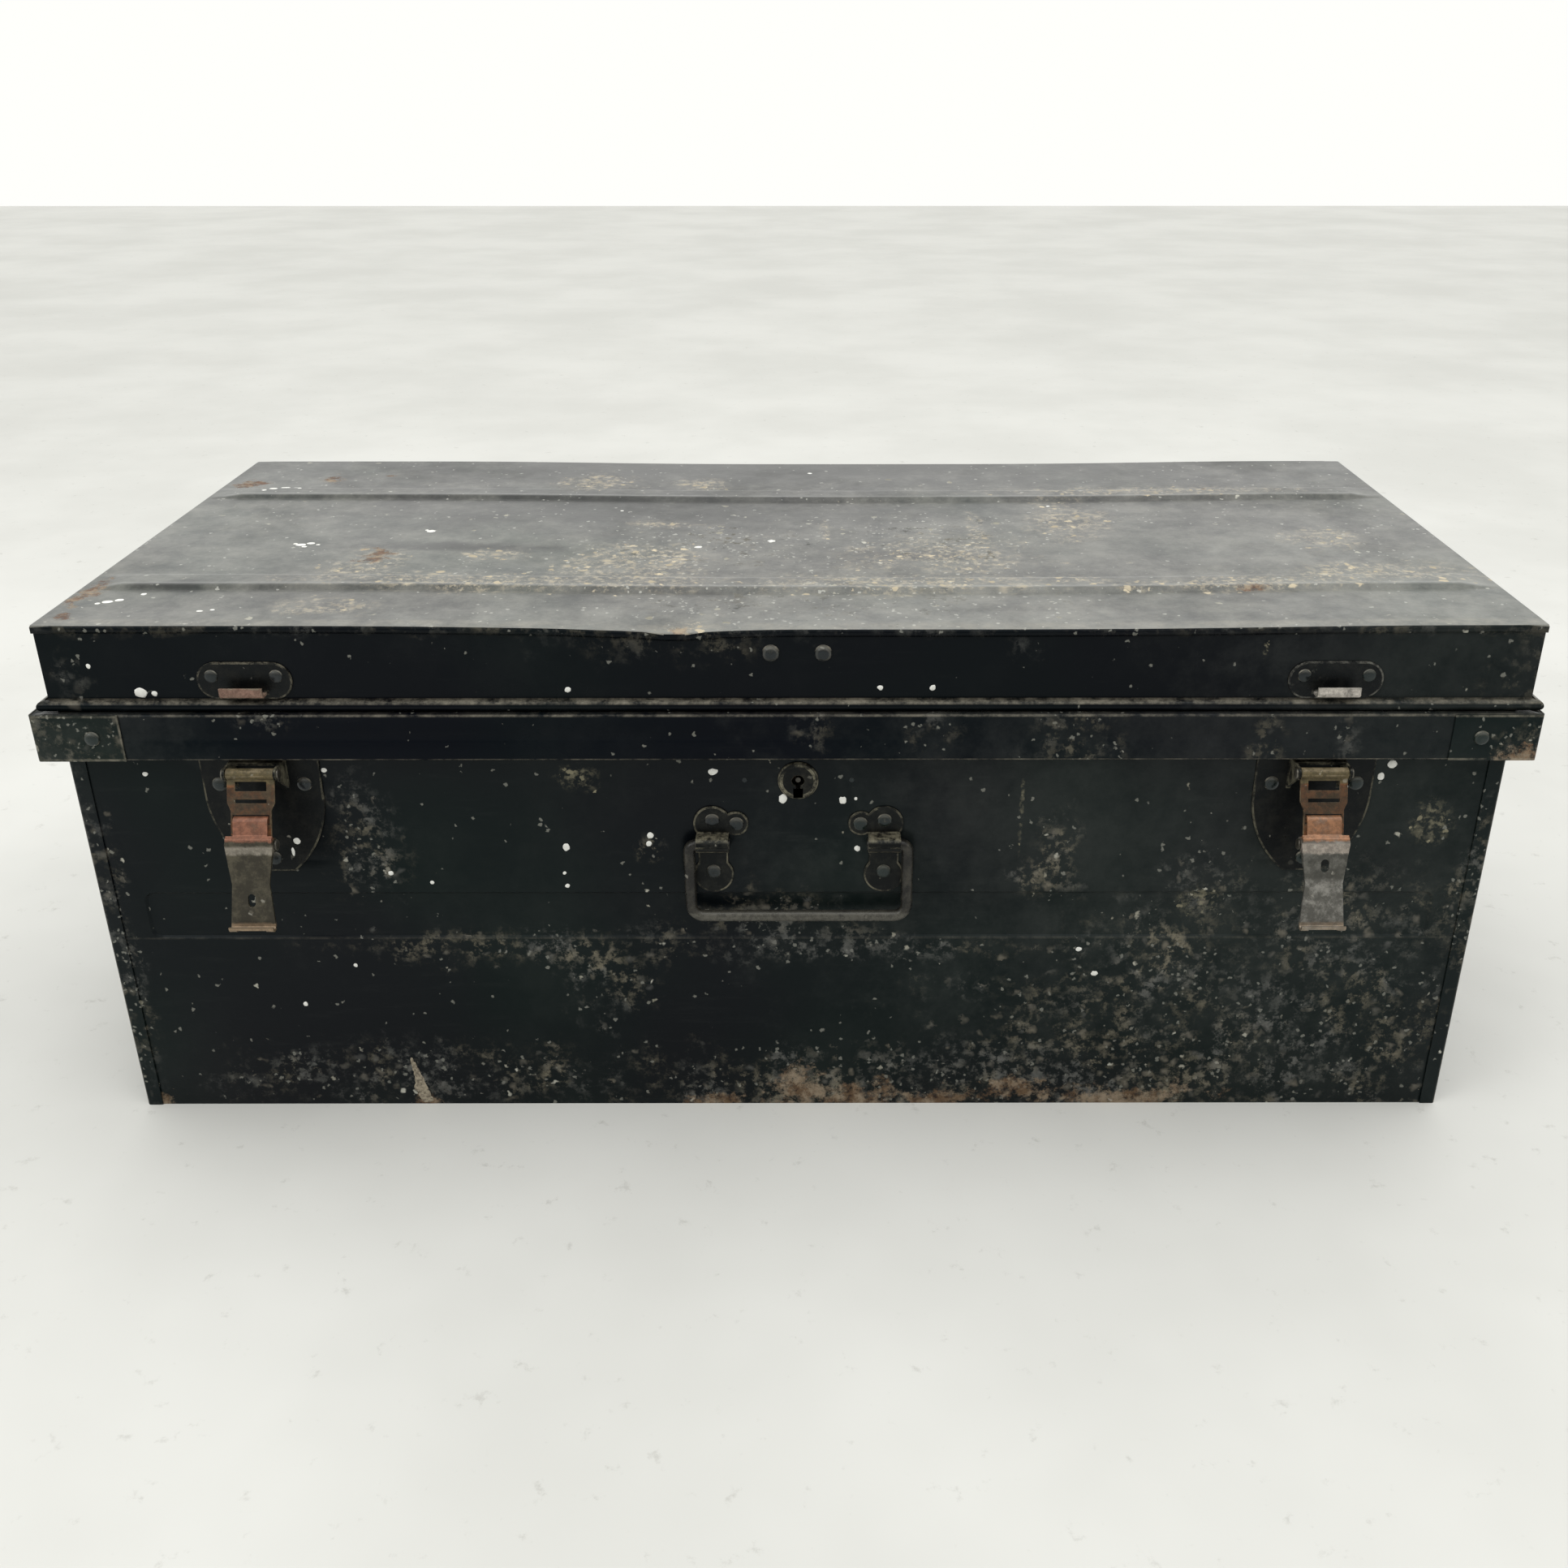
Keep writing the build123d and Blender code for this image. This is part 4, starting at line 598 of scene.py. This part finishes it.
scene.collection.objects.link(lid_top)
thickness = lid_top.modifiers.new("sheet thickness", "SOLIDIFY")
thickness.thickness = sheet_thickness
thickness.offset = -1.0
thickness.material_offset = 2
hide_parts("lid_top")
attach(lid_top, "lid")

top_enamel = enamel(
    "black enamel, lid top", (0.0080, 0.0088, 0.0088), specular=0.40, gloss=0.30, haze=0.12, specks=1.7,
    speck_tone=(0.48, 0.48, 0.43), dust=0.34, sheen=(1.0, 1.0, 0.985), rust_tone=(0.14, 0.070, 0.042),
    veil_strength=0.65,
    veil=(((0.05, -0.170, 0.0), 0.040, (0.10, 1.0, 0.0)), ((0.32, -0.10, 0.0), 0.12, (0.9, 1.0, 0.0)),
          ((0.10, -0.115, 0.0), 0.040, (0.25, 1.0, 0.0))),
    smudges=(((-0.02, 0.180, 0.0), 0.125, (0.18, 1.0, 0.0)), ((-0.10, 0.045, 0.0), 0.080, (0.36, 1.3, 0.0)),
             ((-0.20, -0.032, 0.0), 0.040, (0.6, 3.0, 0.0)), ((0.06, -0.045, 0.0), 0.030, (0.6, 2.0, 0.0)),
             ((-0.335, -0.110, 0.0), 0.022, (0.8, 2.0, 0.0))),
    grime_strength=0.30,
    grime=(((0.084, -0.020, 0.0), 0.090, (1.0, 1.2, 0.0)), ((-0.05, -0.03, 0.0), 0.10, (1.0, 1.2, 0.0)),
           ((0.03, -0.13, 0.0), 0.08, (0.5, 1.4, 0.0))),
    tan_strength=0.9, tan_tone=(0.56, 0.48, 0.34), tan_cell=0.0060,
    tan=(
        ((-0.090, -0.095, 0.0), 0.036, (0.7, 1.6, 0.0)), ((-0.094, -0.100, 0.0), 0.020, (0.7, 1.6, 0.0)),
        ((-0.090, -0.060, 0.0), 0.040, (0.8, 0.8, 0.0)), ((-0.241, -0.070, 0.0), 0.030, (1.2, 0.7, 0.0)),
        ((-0.242, -0.143, 0.0), 0.026, (0.8, 1.6, 0.0)), ((-0.236, -0.141, 0.0), 0.014, (0.8, 1.2, 0.0)),
        ((0.313, -0.017, 0.0), 0.026, (1.0, 1.0, 0.0)), ((-0.063, 0.117, 0.0), 0.024, (1.0, 1.2, 0.0)),
        ((-0.079, 0.020, 0.0), 0.018, (0.7, 2.2, 0.0)), ((-0.132, 0.121, 0.0), 0.026, (0.8, 0.9, 0.0)),
        ((0.244, -0.105, 0.0), 0.040, (0.5, 3.0, 0.0)), ((0.331, -0.085, 0.0), 0.045, (0.6, 1.8, 0.0)),
        ((0.060, -0.100, 0.0), 0.050, (0.5, 2.6, 0.0)), ((0.112, 0.005, 0.0), 0.050, (8.0, 0.9, 0.0)),
        ((0.020, 0.010, 0.0), 0.030, (9.0, 1.0, 0.0)), ((-0.054, -0.169, 0.0), 0.016, (1.0, 1.2, 0.0)),
        ((0.161, -0.095, 0.0), 0.018, (0.8, 1.6, 0.0)), ((-0.170, -0.048, 0.0), 0.022, (0.8, 1.4, 0.0)),
        ((-0.180, -0.10, 0.0), 0.060, (0.6, 3.0, 0.0)), ((0.09, -0.045, 0.0), 0.06, (1.0, 1.4, 0.0)),
        ((0.23, 0.094, 0.0), 0.06, (0.5, 3.5, 0.0)), ((0.17, 0.03, 0.0), 0.04, (1.4, 0.7, 0.0)),
    ),
    rust=(
        ((-0.315, 0.126, 0.0), 0.016, (0.8, 0.8, 0.0)), ((-0.365, 0.111, 0.0), 0.020, (1.0, 1.0, 0.0)),
        ((-0.241, -0.049, 0.0), 0.020, (1.1, 0.7, 0.0)), ((0.250, -0.112, 0.0), 0.010, (0.8, 1.5, 0.0)),
        ((-0.376, -0.120, 0.0), 0.032, (2.6, 0.7, 0.0)), ((-0.057, -0.170, 0.0), 0.010, (0.8, 1.0, 0.0)),
        ((-0.374, -0.160, 0.0), 0.012, (1.4, 1.0, 0.0)),
        ((-0.280, 0.136, 0.0), 0.006, (0.5, 1.6, 0.0)), ((0.272, 0.095, 0.0), 0.004, (1.0, 1.0, 0.0)),
    ),
    lines=((1, -0.1736, 0.0012), (1, -0.1680, 0.0070)), torn_lines=0.30, wiping=(3.0, 60.0, 60.0),
)
lid_enamel = enamel(
    "black enamel, lid walls", (0.0022, 0.0025, 0.0033), specular=0.095, gloss=0.22, haze=0.02, specks=0.6,
    grime_strength=0.35,
    grime=(((0.0, 0.0, 0.2985), 0.0060, (0.004, 0.0, 1.0)), ((-0.06, -0.173, 0.292), 0.03, (0.4, 0.0, 2.0)),
           ((0.125, -0.173, 0.288), 0.012, (1.0, 0.0, 1.2)), ((0.38, -0.173, 0.27), 0.03, (1.2, 1.0, 1.0)),
           ((-0.366, -0.173, 0.27), 0.018, (1.2, 1.0, 1.0))),
    veil=(((0.33, -0.173, 0.275), 0.10, (0.7, 0.0, 1.0)),),
    tan=(((0.244, -0.173, 0.285), 0.006, (4.0, 0.0, 1.0)),),
    # light line along the top of the wire bead: rubbed enamel, and a painted highlight
    lines=((2, 0.2584, 0.0013),), torn_lines=0.55,
)
inside_enamel = enamel(
    "black enamel, inside of the lid", (0.0050, 0.0055, 0.0055), specular=0.25, gloss=0.42, specks=0.5,
    grime=(((0.1, 0.0, 0.0), 0.12, (0.7, 1.2, 0.0)), ((-0.2, 0.1, 0.0), 0.07, (0.7, 1.2, 0.0))),
)
# Its upper side is dusty, its folded edge is like the walls, and its lower side and cut edge are
# like the inside.
for material in (top_enamel, lid_enamel, inside_enamel, inside_enamel):
    lid_top.data.materials.append(material)

# The upper edges of the long walls have sunk with the sheet, so these are cut across often enough
# to bend.
thin_round = 0.0002
first_cut, cut_spacing, cuts = -0.250, 0.0075, 84
bend_from, bend_over = 0.285, 0.012
lid_walls = {side: soften(f"lid_{side}_wall", thin_round, segments=1)
             for side in ("front", "back", "left", "right")}
for side, y in (("front", lid_lo.y), ("back", lid_hi.y)):
    wall = bmesh.new()
    wall.from_mesh(lid_walls[side].data)
    for step in range(cuts):
        bmesh.ops.bisect_plane(wall, geom=wall.verts[:] + wall.edges[:] + wall.faces[:], dist=1e-6,
                               plane_co=(first_cut + cut_spacing * step, 0.0, 0.0), plane_no=(1.0, 0.0, 0.0))
    for vert in wall.verts:
        if vert.co.z > bend_from:
            vert.co.z -= sunk(vert.co.x, y) * min((vert.co.z - bend_from) / bend_over, 1.0)
    wall.to_mesh(lid_walls[side].data)
    wall.free()
finish_with(lid_walls.values(), lid_enamel)

# --- Handles ------------------------------------------------------------------------------------
# Bails of round wire, one in front and one at each end, held by pressed brackets with three rivets
# each. They were enamelled with the trunk, and their edges and grips have worn; a light band across the
# bails at one height is a painted highlight over that wear.
steel_chip, bare_steel = 0.0034, (0.42, 0.40, 0.34)


def fitting(name, base, light, rusty, rust_amount=0.4, gloss=0.35, metal=0.3, specular=0.5, edge=None,
            edge_tone=(0.30, 0.27, 0.20), outline=0.0, bands=()):
    """Worn pressed steel: base and lighter worn tones, rust in blotches and a worn outline. edge is
    (the axis the piece faces, where rubbing starts, strength); on curved faces it also lightens the
    surface as a painted highlight. bands of another tone are each (axis, from, to, tone, strength)."""
    material, tree, shader, coords = start_material(name)
    where = coords.outputs["Object"]
    wear = ramp(tree, grain(tree, where, 130.0, 7.0, 0.75), 0.42, 0.68)
    colour = mix(tree, wear, base, light)
    fine = grain(tree, where, 300.0, 8.0, 0.8)
    blotch = grain(tree, where, 90.0, 6.0, 0.7)
    spread = math_node(tree, "MULTIPLY_ADD", fine, 0.35, times(tree, blotch, 0.65))
    level = 0.72 - rust_amount * 0.5
    eaten = ramp(tree, spread, level, level + 0.12)
    rusted = mix(tree, ramp(tree, fine, 0.35, 0.66), tuple(c * 0.3 for c in rusty), rusty)
    colour = mix(tree, times(tree, eaten, 0.9), colour, rusted)
    if bands:
        axes = add_node(tree, "ShaderNodeSeparateXYZ", Vector=where)
        shaken = math_node(tree, "MULTIPLY_ADD", fine, 0.004, -0.002)
        for axis, start, end, tone, strength in bands:
            along = math_node(tree, "ADD", axes.outputs[axis], shaken)
            middle, half = (start + end) / 2, abs(end - start) / 2
            off = math_node(tree, "ABSOLUTE", math_node(tree, "SUBTRACT", along, middle))
            inside = times(tree, ramp(tree, off, half + 0.0008, half - 0.0008), strength)
            torn = times(tree, inside, ramp(tree, blotch, 0.30, 0.48, 0.35, 1.0))
            uneven = mix(tree, ramp(tree, fine, 0.40, 0.62), tuple(c * 0.55 for c in tone), tone)
            colour = mix(tree, torn, colour, uneven)
    chip, shade = flecks(tree, where, steel_chip, 0.10)
    colour = mix(tree, times(tree, chip, 0.45), colour, mix(tree, shade, light, bare_steel))
    if outline:
        band = add_node(tree, "ShaderNodeAttribute", attribute_name="outline").outputs["Fac"]
        broken = ramp(tree, grain(tree, where, 75.0, 7.0, 0.8), 0.43, 0.62, 0.0, outline)
        colour = mix(tree, times(tree, band, broken), colour, edge_tone)
    if edge is not None:
        worn = times(tree, ramp(tree, sides(tree, coords, edge[0]), edge[1], edge[1] + 0.25),
                     ramp(tree, grain(tree, where, 150.0, 7.0, 0.8), 0.40, 0.62, 0.0, edge[2]))
        colour = mix(tree, worn, colour, edge_tone)
    tree.links.new(colour, shader.inputs["Base Color"])
    polish = math_node(tree, "MULTIPLY_ADD", fine, 0.2, gloss - 0.1)
    tree.links.new(math_node(tree, "MULTIPLY_ADD", eaten, 0.35, polish), shader.inputs["Roughness"])
    if metal:
        tree.links.new(math_node(tree, "MULTIPLY_ADD", eaten, -metal, metal), shader.inputs["Metallic"])
    else:
        shader.inputs["Specular Tint"].default_value = (*cool_sheen, 1.0)
    shader.inputs["Specular IOR Level"].default_value = specular
    pitted = add_node(tree, "ShaderNodeBump", Height=fine, Strength=0.35, Distance=0.0005)
    tree.links.new(pitted.outputs[0], shader.inputs["Normal"])
    return material


# On the brackets the edge mask also lightens the curved straps over the bails: worn edges, and a painted
# highlight on the straps.
bracket_steel, end_bracket_steel = [
    fitting(name, (0.0030, 0.0030, 0.0028), (0.014, 0.0135, 0.011), (0.045, 0.036, 0.020), 0.22, gloss=0.30,
            metal=0.0, specular=0.15, edge=(axis, 0.12, 0.9), edge_tone=(0.17, 0.155, 0.110), outline=0.75)
    for name, axis in (("bracket steel, front", 1), ("bracket steel, ends", 0))
]
# the light band across the bails at one height, along the bottom bar of the front one, is a painted highlight
# over worn steel
handle_steel = fitting(
    "handle steel", (0.0085, 0.0080, 0.0070), (0.040, 0.037, 0.029), (0.05, 0.038, 0.025), 0.25, gloss=0.28,
    metal=0.15, specular=0.35, bands=((2, 0.1285, 0.1345, (0.12, 0.115, 0.095), 0.7),))


def fit(names, material, width, outline=0.0, hole=0.0):
    """Rounds the edges of the pieces of a fitting and finishes them; see soften for outline and hole."""
    pieces = [soften(name, width, segments=1, outline=outline, hole=hole) for name in names]
    finish_with(pieces, material)


bracket_round, bracket_band = 0.0004, 0.0010
fit(("front_handle_bracket_left", "front_handle_bracket_right"), bracket_steel,
    bracket_round, bracket_band)
fit(("left_end_handle_bracket_back", "left_end_handle_bracket_front", "right_end_handle_bracket_front",
     "right_end_handle_bracket_back"), end_bracket_steel, bracket_round)
fit(("front_handle_bail", "left_end_handle_bail", "right_end_handle_bail"), handle_steel, 0.0)

# --- Latches ------------------------------------------------------------------------------------
# Draw latches that hang open: an enamelled base plate, and a link and a finger lever pressed from
# plated sheet that turn on two pins. The plating has tarnished and the steel under it has rusted.
plate_steel = fitting(
    "enamelled plate", (0.0035, 0.0038, 0.0040), (0.010, 0.0098, 0.0085), (0.05, 0.04, 0.025), 0.12,
    gloss=0.30, metal=0.0, specular=0.13, edge=(1, 0.15, 1.0), edge_tone=(0.13, 0.12, 0.085), outline=0.7)
link_steel = fitting(
    "rusted link", (0.042, 0.029, 0.016), (0.11, 0.078, 0.042), (0.21, 0.080, 0.030), 0.58, gloss=0.42,
    metal=0.2, specular=0.30, edge=(1, 0.10, 0.9), edge_tone=(0.20, 0.16, 0.10), outline=0.8,
    bands=((2, 0.2165, 0.226, (0.115, 0.095, 0.045), 0.9), (2, 0.1995, 0.2155, (0.046, 0.029, 0.015), 0.7)))
left_lever_steel = fitting(
    "tarnished lever, left", (0.030, 0.026, 0.017), (0.085, 0.075, 0.050), (0.16, 0.085, 0.040), 0.26,
    gloss=0.36, metal=0.35,
    bands=((2, 0.191, 0.203, (0.26, 0.105, 0.060), 0.95), (2, 0.1845, 0.1885, (0.30, 0.27, 0.22), 0.85),
           (2, 0.1440, 0.1490, (0.34, 0.24, 0.15), 0.8)))
right_lever_steel = fitting(
    "tarnished lever, right", (0.085, 0.082, 0.072), (0.27, 0.26, 0.235), (0.14, 0.08, 0.045), 0.22,
    gloss=0.36, metal=0.35,
    bands=((2, 0.191, 0.203, (0.33, 0.155, 0.075), 0.95), (2, 0.1845, 0.1900, (0.38, 0.33, 0.28), 0.9),
           (2, 0.1715, 0.1845, (0.050, 0.050, 0.040), 0.6), (2, 0.1440, 0.1490, (0.34, 0.26, 0.18), 0.7)))
pin_steel = fitting("dull pin", (0.05, 0.045, 0.035), (0.20, 0.19, 0.16), (0.14, 0.07, 0.035), 0.3, metal=0.6)
plate_round, plate_band = 0.0003, 0.0010
thin_plate_round, link_band = 0.0002, 0.0006
fit(("latch_base_left", "latch_base_right"), plate_steel, plate_round, plate_band)
fit(("latch_link_left", "latch_link_right"), link_steel, thin_plate_round, link_band)
fit(("latch_lever_left",), left_lever_steel, thin_plate_round)
fit(("latch_lever_right",), right_lever_steel, thin_plate_round)
fit(("latch_base_pin_left", "latch_base_pin_right", "latch_knuckle_pin_left", "latch_knuckle_pin_right"),
    pin_steel, thin_plate_round)

# The levers narrow a little towards their free end.
narrow_share, narrow_from, narrow_over = 0.13, 0.186, 0.020
for side, middle in (("left", -0.2795), ("right", 0.2795)):
    for vert in bpy.data.objects[f"latch_lever_{side}_piece"].data.vertices:
        narrow = min(max((narrow_from - vert.co.z) / narrow_over, 0.0), 1.0) * narrow_share
        vert.co.x = middle + (vert.co.x - middle) * (1.0 - narrow)

# --- Hinges -------------------------------------------------------------------------------------
# Two plain strap hinges across the back, their leaves enamelled like the plates of the latches and
# riveted to the back wall and the lid, with a dull steel pin through their knuckles.
fit(("hinge_pins",), pin_steel, thin_plate_round)
fit(("hinge_body_leaf_left", "hinge_body_leaf_right", "hinge_lid_leaf_left", "hinge_lid_leaf_right"),
    plate_steel, thin_plate_round)

# --- Keepers ------------------------------------------------------------------------------------
# Small enamelled plates riveted to the front of the lid, each with a hook for the tongue of its
# latch. The hooks were plated: the left one has rusted and the right one has worn pale.
left_keeper_steel = fitting(
    "keeper plate, left", (0.0035, 0.0038, 0.0040), (0.010, 0.0095, 0.008), (0.08, 0.05, 0.03), 0.12,
    gloss=0.28, metal=0.0, specular=0.14, edge=(1, 0.12, 0.95), edge_tone=(0.15, 0.135, 0.10), outline=0.8,
    bands=((1, -0.190, -0.1758, (0.27, 0.165, 0.125), 0.95),))
right_keeper_steel = fitting(
    "keeper plate, right", (0.0035, 0.0038, 0.0040), (0.012, 0.012, 0.011), (0.08, 0.05, 0.03), 0.12,
    gloss=0.28, metal=0.0, specular=0.14, edge=(1, 0.12, 0.95), edge_tone=(0.15, 0.145, 0.125), outline=0.8,
    bands=((1, -0.190, -0.1758, (0.62, 0.57, 0.51), 0.95),))
keeper_band = 0.0009
fit(("keeper_left",), left_keeper_steel, plate_round, keeper_band)
fit(("keeper_right",), right_keeper_steel, plate_round, keeper_band)

# --- Lock ---------------------------------------------------------------------------------------
# A keyhole plate in front, and behind the wall a plain steel case with its drill pin and a bolt
# that slides into the notch of a staple riveted inside the lid.
escutcheon_steel = fitting(
    "keyhole plate", (0.004, 0.004, 0.0038), (0.018, 0.017, 0.013), (0.06, 0.045, 0.025), 0.3, gloss=0.3,
    metal=0.0, specular=0.13, edge=(1, 0.06, 1.0), edge_tone=(0.19, 0.175, 0.125), outline=1.0)
lock_steel = fitting("lock steel", (0.05, 0.047, 0.040), (0.15, 0.145, 0.13), (0.14, 0.07, 0.035), 0.3,
                     metal=0.6)
escutcheon_round, escutcheon_band, keyhole_reach = 0.0004, 0.0018, 0.008
fit(("lock_escutcheon",), escutcheon_steel, escutcheon_round, escutcheon_band,
    keyhole_reach)
fit(("lock_case", "lock_drill_pin", "lock_staple", "lock_bolt"), lock_steel, thin_plate_round)

# --- Wire in the lid's edge ---------------------------------------------------------------------
# A round steel wire that stiffens the lid. The lower edge of the walls is curled round it, so that
# it hardly shows.
fit(("lid_edge_wire",), lock_steel, 0.0)

# --- Paint spots ------------------------------------------------------------------------------
# Drops of white wall paint that fell on the lid and ran against the front, and have dried on the
# enamel, each as a low uneven blob.
drop_thickness, drop_swell, drop_unevenness = 0.0004, 1.3, 0.25
paint, tree, shader, coords = start_material("dried white paint")
mottled = grain(tree, coords.outputs["Object"], 400.0)
tree.links.new(mix(tree, mottled, (0.55, 0.55, 0.50), (0.88, 0.88, 0.85)), shader.inputs["Base Color"])
shader.inputs["Roughness"].default_value = 0.6
lid_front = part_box("keeper_left")[1].y
panel_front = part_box("front_panel")[0].y
latch_plate_front = panel_front - 0.0012


def dried_drops(name, body, spots, material):
    """Low blobs that ride on a body. spots lists (x, y, z, width, height, facing), facing up or front."""
    drops = bmesh.new()
    for x, y, z, across, up, facing in spots:
        verts = bmesh.ops.create_uvsphere(drops, u_segments=12, v_segments=6, radius=0.5)["verts"]
        size = (across, up, drop_thickness) if facing == "up" else (across, drop_thickness, up)
        bmesh.ops.scale(drops, vec=Vector(size) * drop_swell, verts=verts)
        for vert in verts:
            vert.co *= 1.0 + drop_unevenness * noise.noise(vert.co * 900.0 + Vector((x, y, z)) * 50.0)
        bmesh.ops.translate(drops, vec=(x, y, z), verts=verts)
    for face in drops.faces:
        face.smooth = True
    data = bpy.data.meshes.new(name)
    drops.to_mesh(data)
    drops.free()
    data.materials.append(material)
    piece = bpy.data.objects.new(name, data)
    scene.collection.objects.link(piece)
    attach(piece, body)


dried_drops("paint_spots_body", "trunk", [
    (x, panel_front, z, across, up, "front") for x, z, across, up in (
        (-0.121, 0.171, 0.0030, 0.0036), (-0.003, 0.200, 0.0034, 0.0044), (0.029, 0.199, 0.0032, 0.0034),
        (-0.040, 0.216, 0.0042, 0.0030), (0.320, 0.220, 0.0042, 0.0036), (0.315, 0.213, 0.0030, 0.0034),
        (0.037, 0.170, 0.0026, 0.0026), (-0.075, 0.178, 0.0026, 0.0030), (-0.076, 0.173, 0.0022, 0.0026),
        (-0.246, 0.217, 0.0024, 0.0022), (-0.341, 0.215, 0.0024, 0.0020),
        (-0.277, 0.070, 0.0020, 0.0024), (0.162, 0.106, 0.0028, 0.0022),
        (0.172, 0.090, 0.0030, 0.0024), (-0.245, 0.096, 0.0018, 0.0020), (-0.122, 0.147, 0.0020, 0.0020),
        (-0.123, 0.155, 0.0016, 0.0016), (-0.196, 0.149, 0.0018, 0.0018), (-0.218, 0.155, 0.0022, 0.0022),
        (0.036, 0.200, 0.0014, 0.0014),
    )
] + [
    (x, latch_plate_front, z, across, up, "front") for x, z, across, up in (
        (-0.266, 0.1755, 0.0032, 0.0030), (-0.269, 0.1690, 0.0014, 0.0040), (0.297, 0.2075, 0.0018, 0.0018),
    )
], paint)
dried_drops("paint_spots_lid", "lid", [
    (x, lid_front, z, across, up, "front") for x, z, across, up in (
        (-0.333, 0.2625, 0.0050, 0.0042), (-0.326, 0.262, 0.0024, 0.0024), (-0.113, 0.264, 0.0026, 0.0024),
        (0.048, 0.265, 0.0024, 0.0020), (0.075, 0.265, 0.0024, 0.0024), (-0.357, 0.277, 0.0018, 0.0022),
    )
] + [
    (x, y, sheet_height(x, y), across, up, "up") for x, y, across, up in (
        (-0.289, -0.030, 0.0050, 0.0036), (-0.284, -0.027, 0.0040, 0.0030), (-0.293, -0.028, 0.0020, 0.0024),
        (-0.286, -0.034, 0.0026, 0.0022), (-0.279, -0.030, 0.0020, 0.0018), (-0.219, -0.001, 0.0042, 0.0040),
        (-0.222, 0.001, 0.0016, 0.0020), (-0.012, -0.016, 0.0036, 0.0036), (-0.359, -0.135, 0.0044, 0.0036),
        (-0.354, -0.132, 0.0036, 0.0034), (-0.363, -0.138, 0.0022, 0.0022), (-0.345, 0.094, 0.0042, 0.0028),
        (-0.338, 0.097, 0.0050, 0.0026), (-0.332, 0.099, 0.0030, 0.0020), (-0.350, 0.090, 0.0024, 0.0024),
        (-0.328, 0.095, 0.0022, 0.0016), (-0.055, -0.029, 0.0036, 0.0030), (-0.345, -0.122, 0.0024, 0.0026),
        (-0.305, -0.150, 0.0030, 0.0018), (-0.299, -0.148, 0.0020, 0.0016), (0.010, 0.150, 0.0026, 0.0026),
        (-0.109, 0.050, 0.0018, 0.0018), (0.164, 0.062, 0.0020, 0.0020),
    )
], paint)

# --- Dried mud ----------------------------------------------------------------------------------
# A splash of mud that ran down low on the front and dried there, wider towards the ground, made
# of blobs that run into each other.
mud, tree, shader, coords = start_material("dried mud")
mottled = ramp(tree, grain(tree, coords.outputs["Object"], 500.0, 5.0, 0.7), 0.35, 0.60)
tree.links.new(mix(tree, mottled, (0.11, 0.09, 0.065), (0.30, 0.26, 0.19)), shader.inputs["Base Color"])
shader.inputs["Roughness"].default_value = 0.8
dried_drops("dried_mud_streak", "trunk", [
    (x, panel_front, z, across, up, "front") for x, z, across, up in (
        (-0.2208, 0.0300, 0.0014, 0.0050), (-0.2198, 0.0262, 0.0022, 0.0060),
        (-0.2188, 0.0215, 0.0030, 0.0070), (-0.2180, 0.0160, 0.0044, 0.0080),
        (-0.2170, 0.0110, 0.0054, 0.0080), (-0.2158, 0.0065, 0.0060, 0.0070),
        (-0.2146, 0.0035, 0.0060, 0.0040), (-0.2200, 0.0120, 0.0024, 0.0040),
    )
], mud)
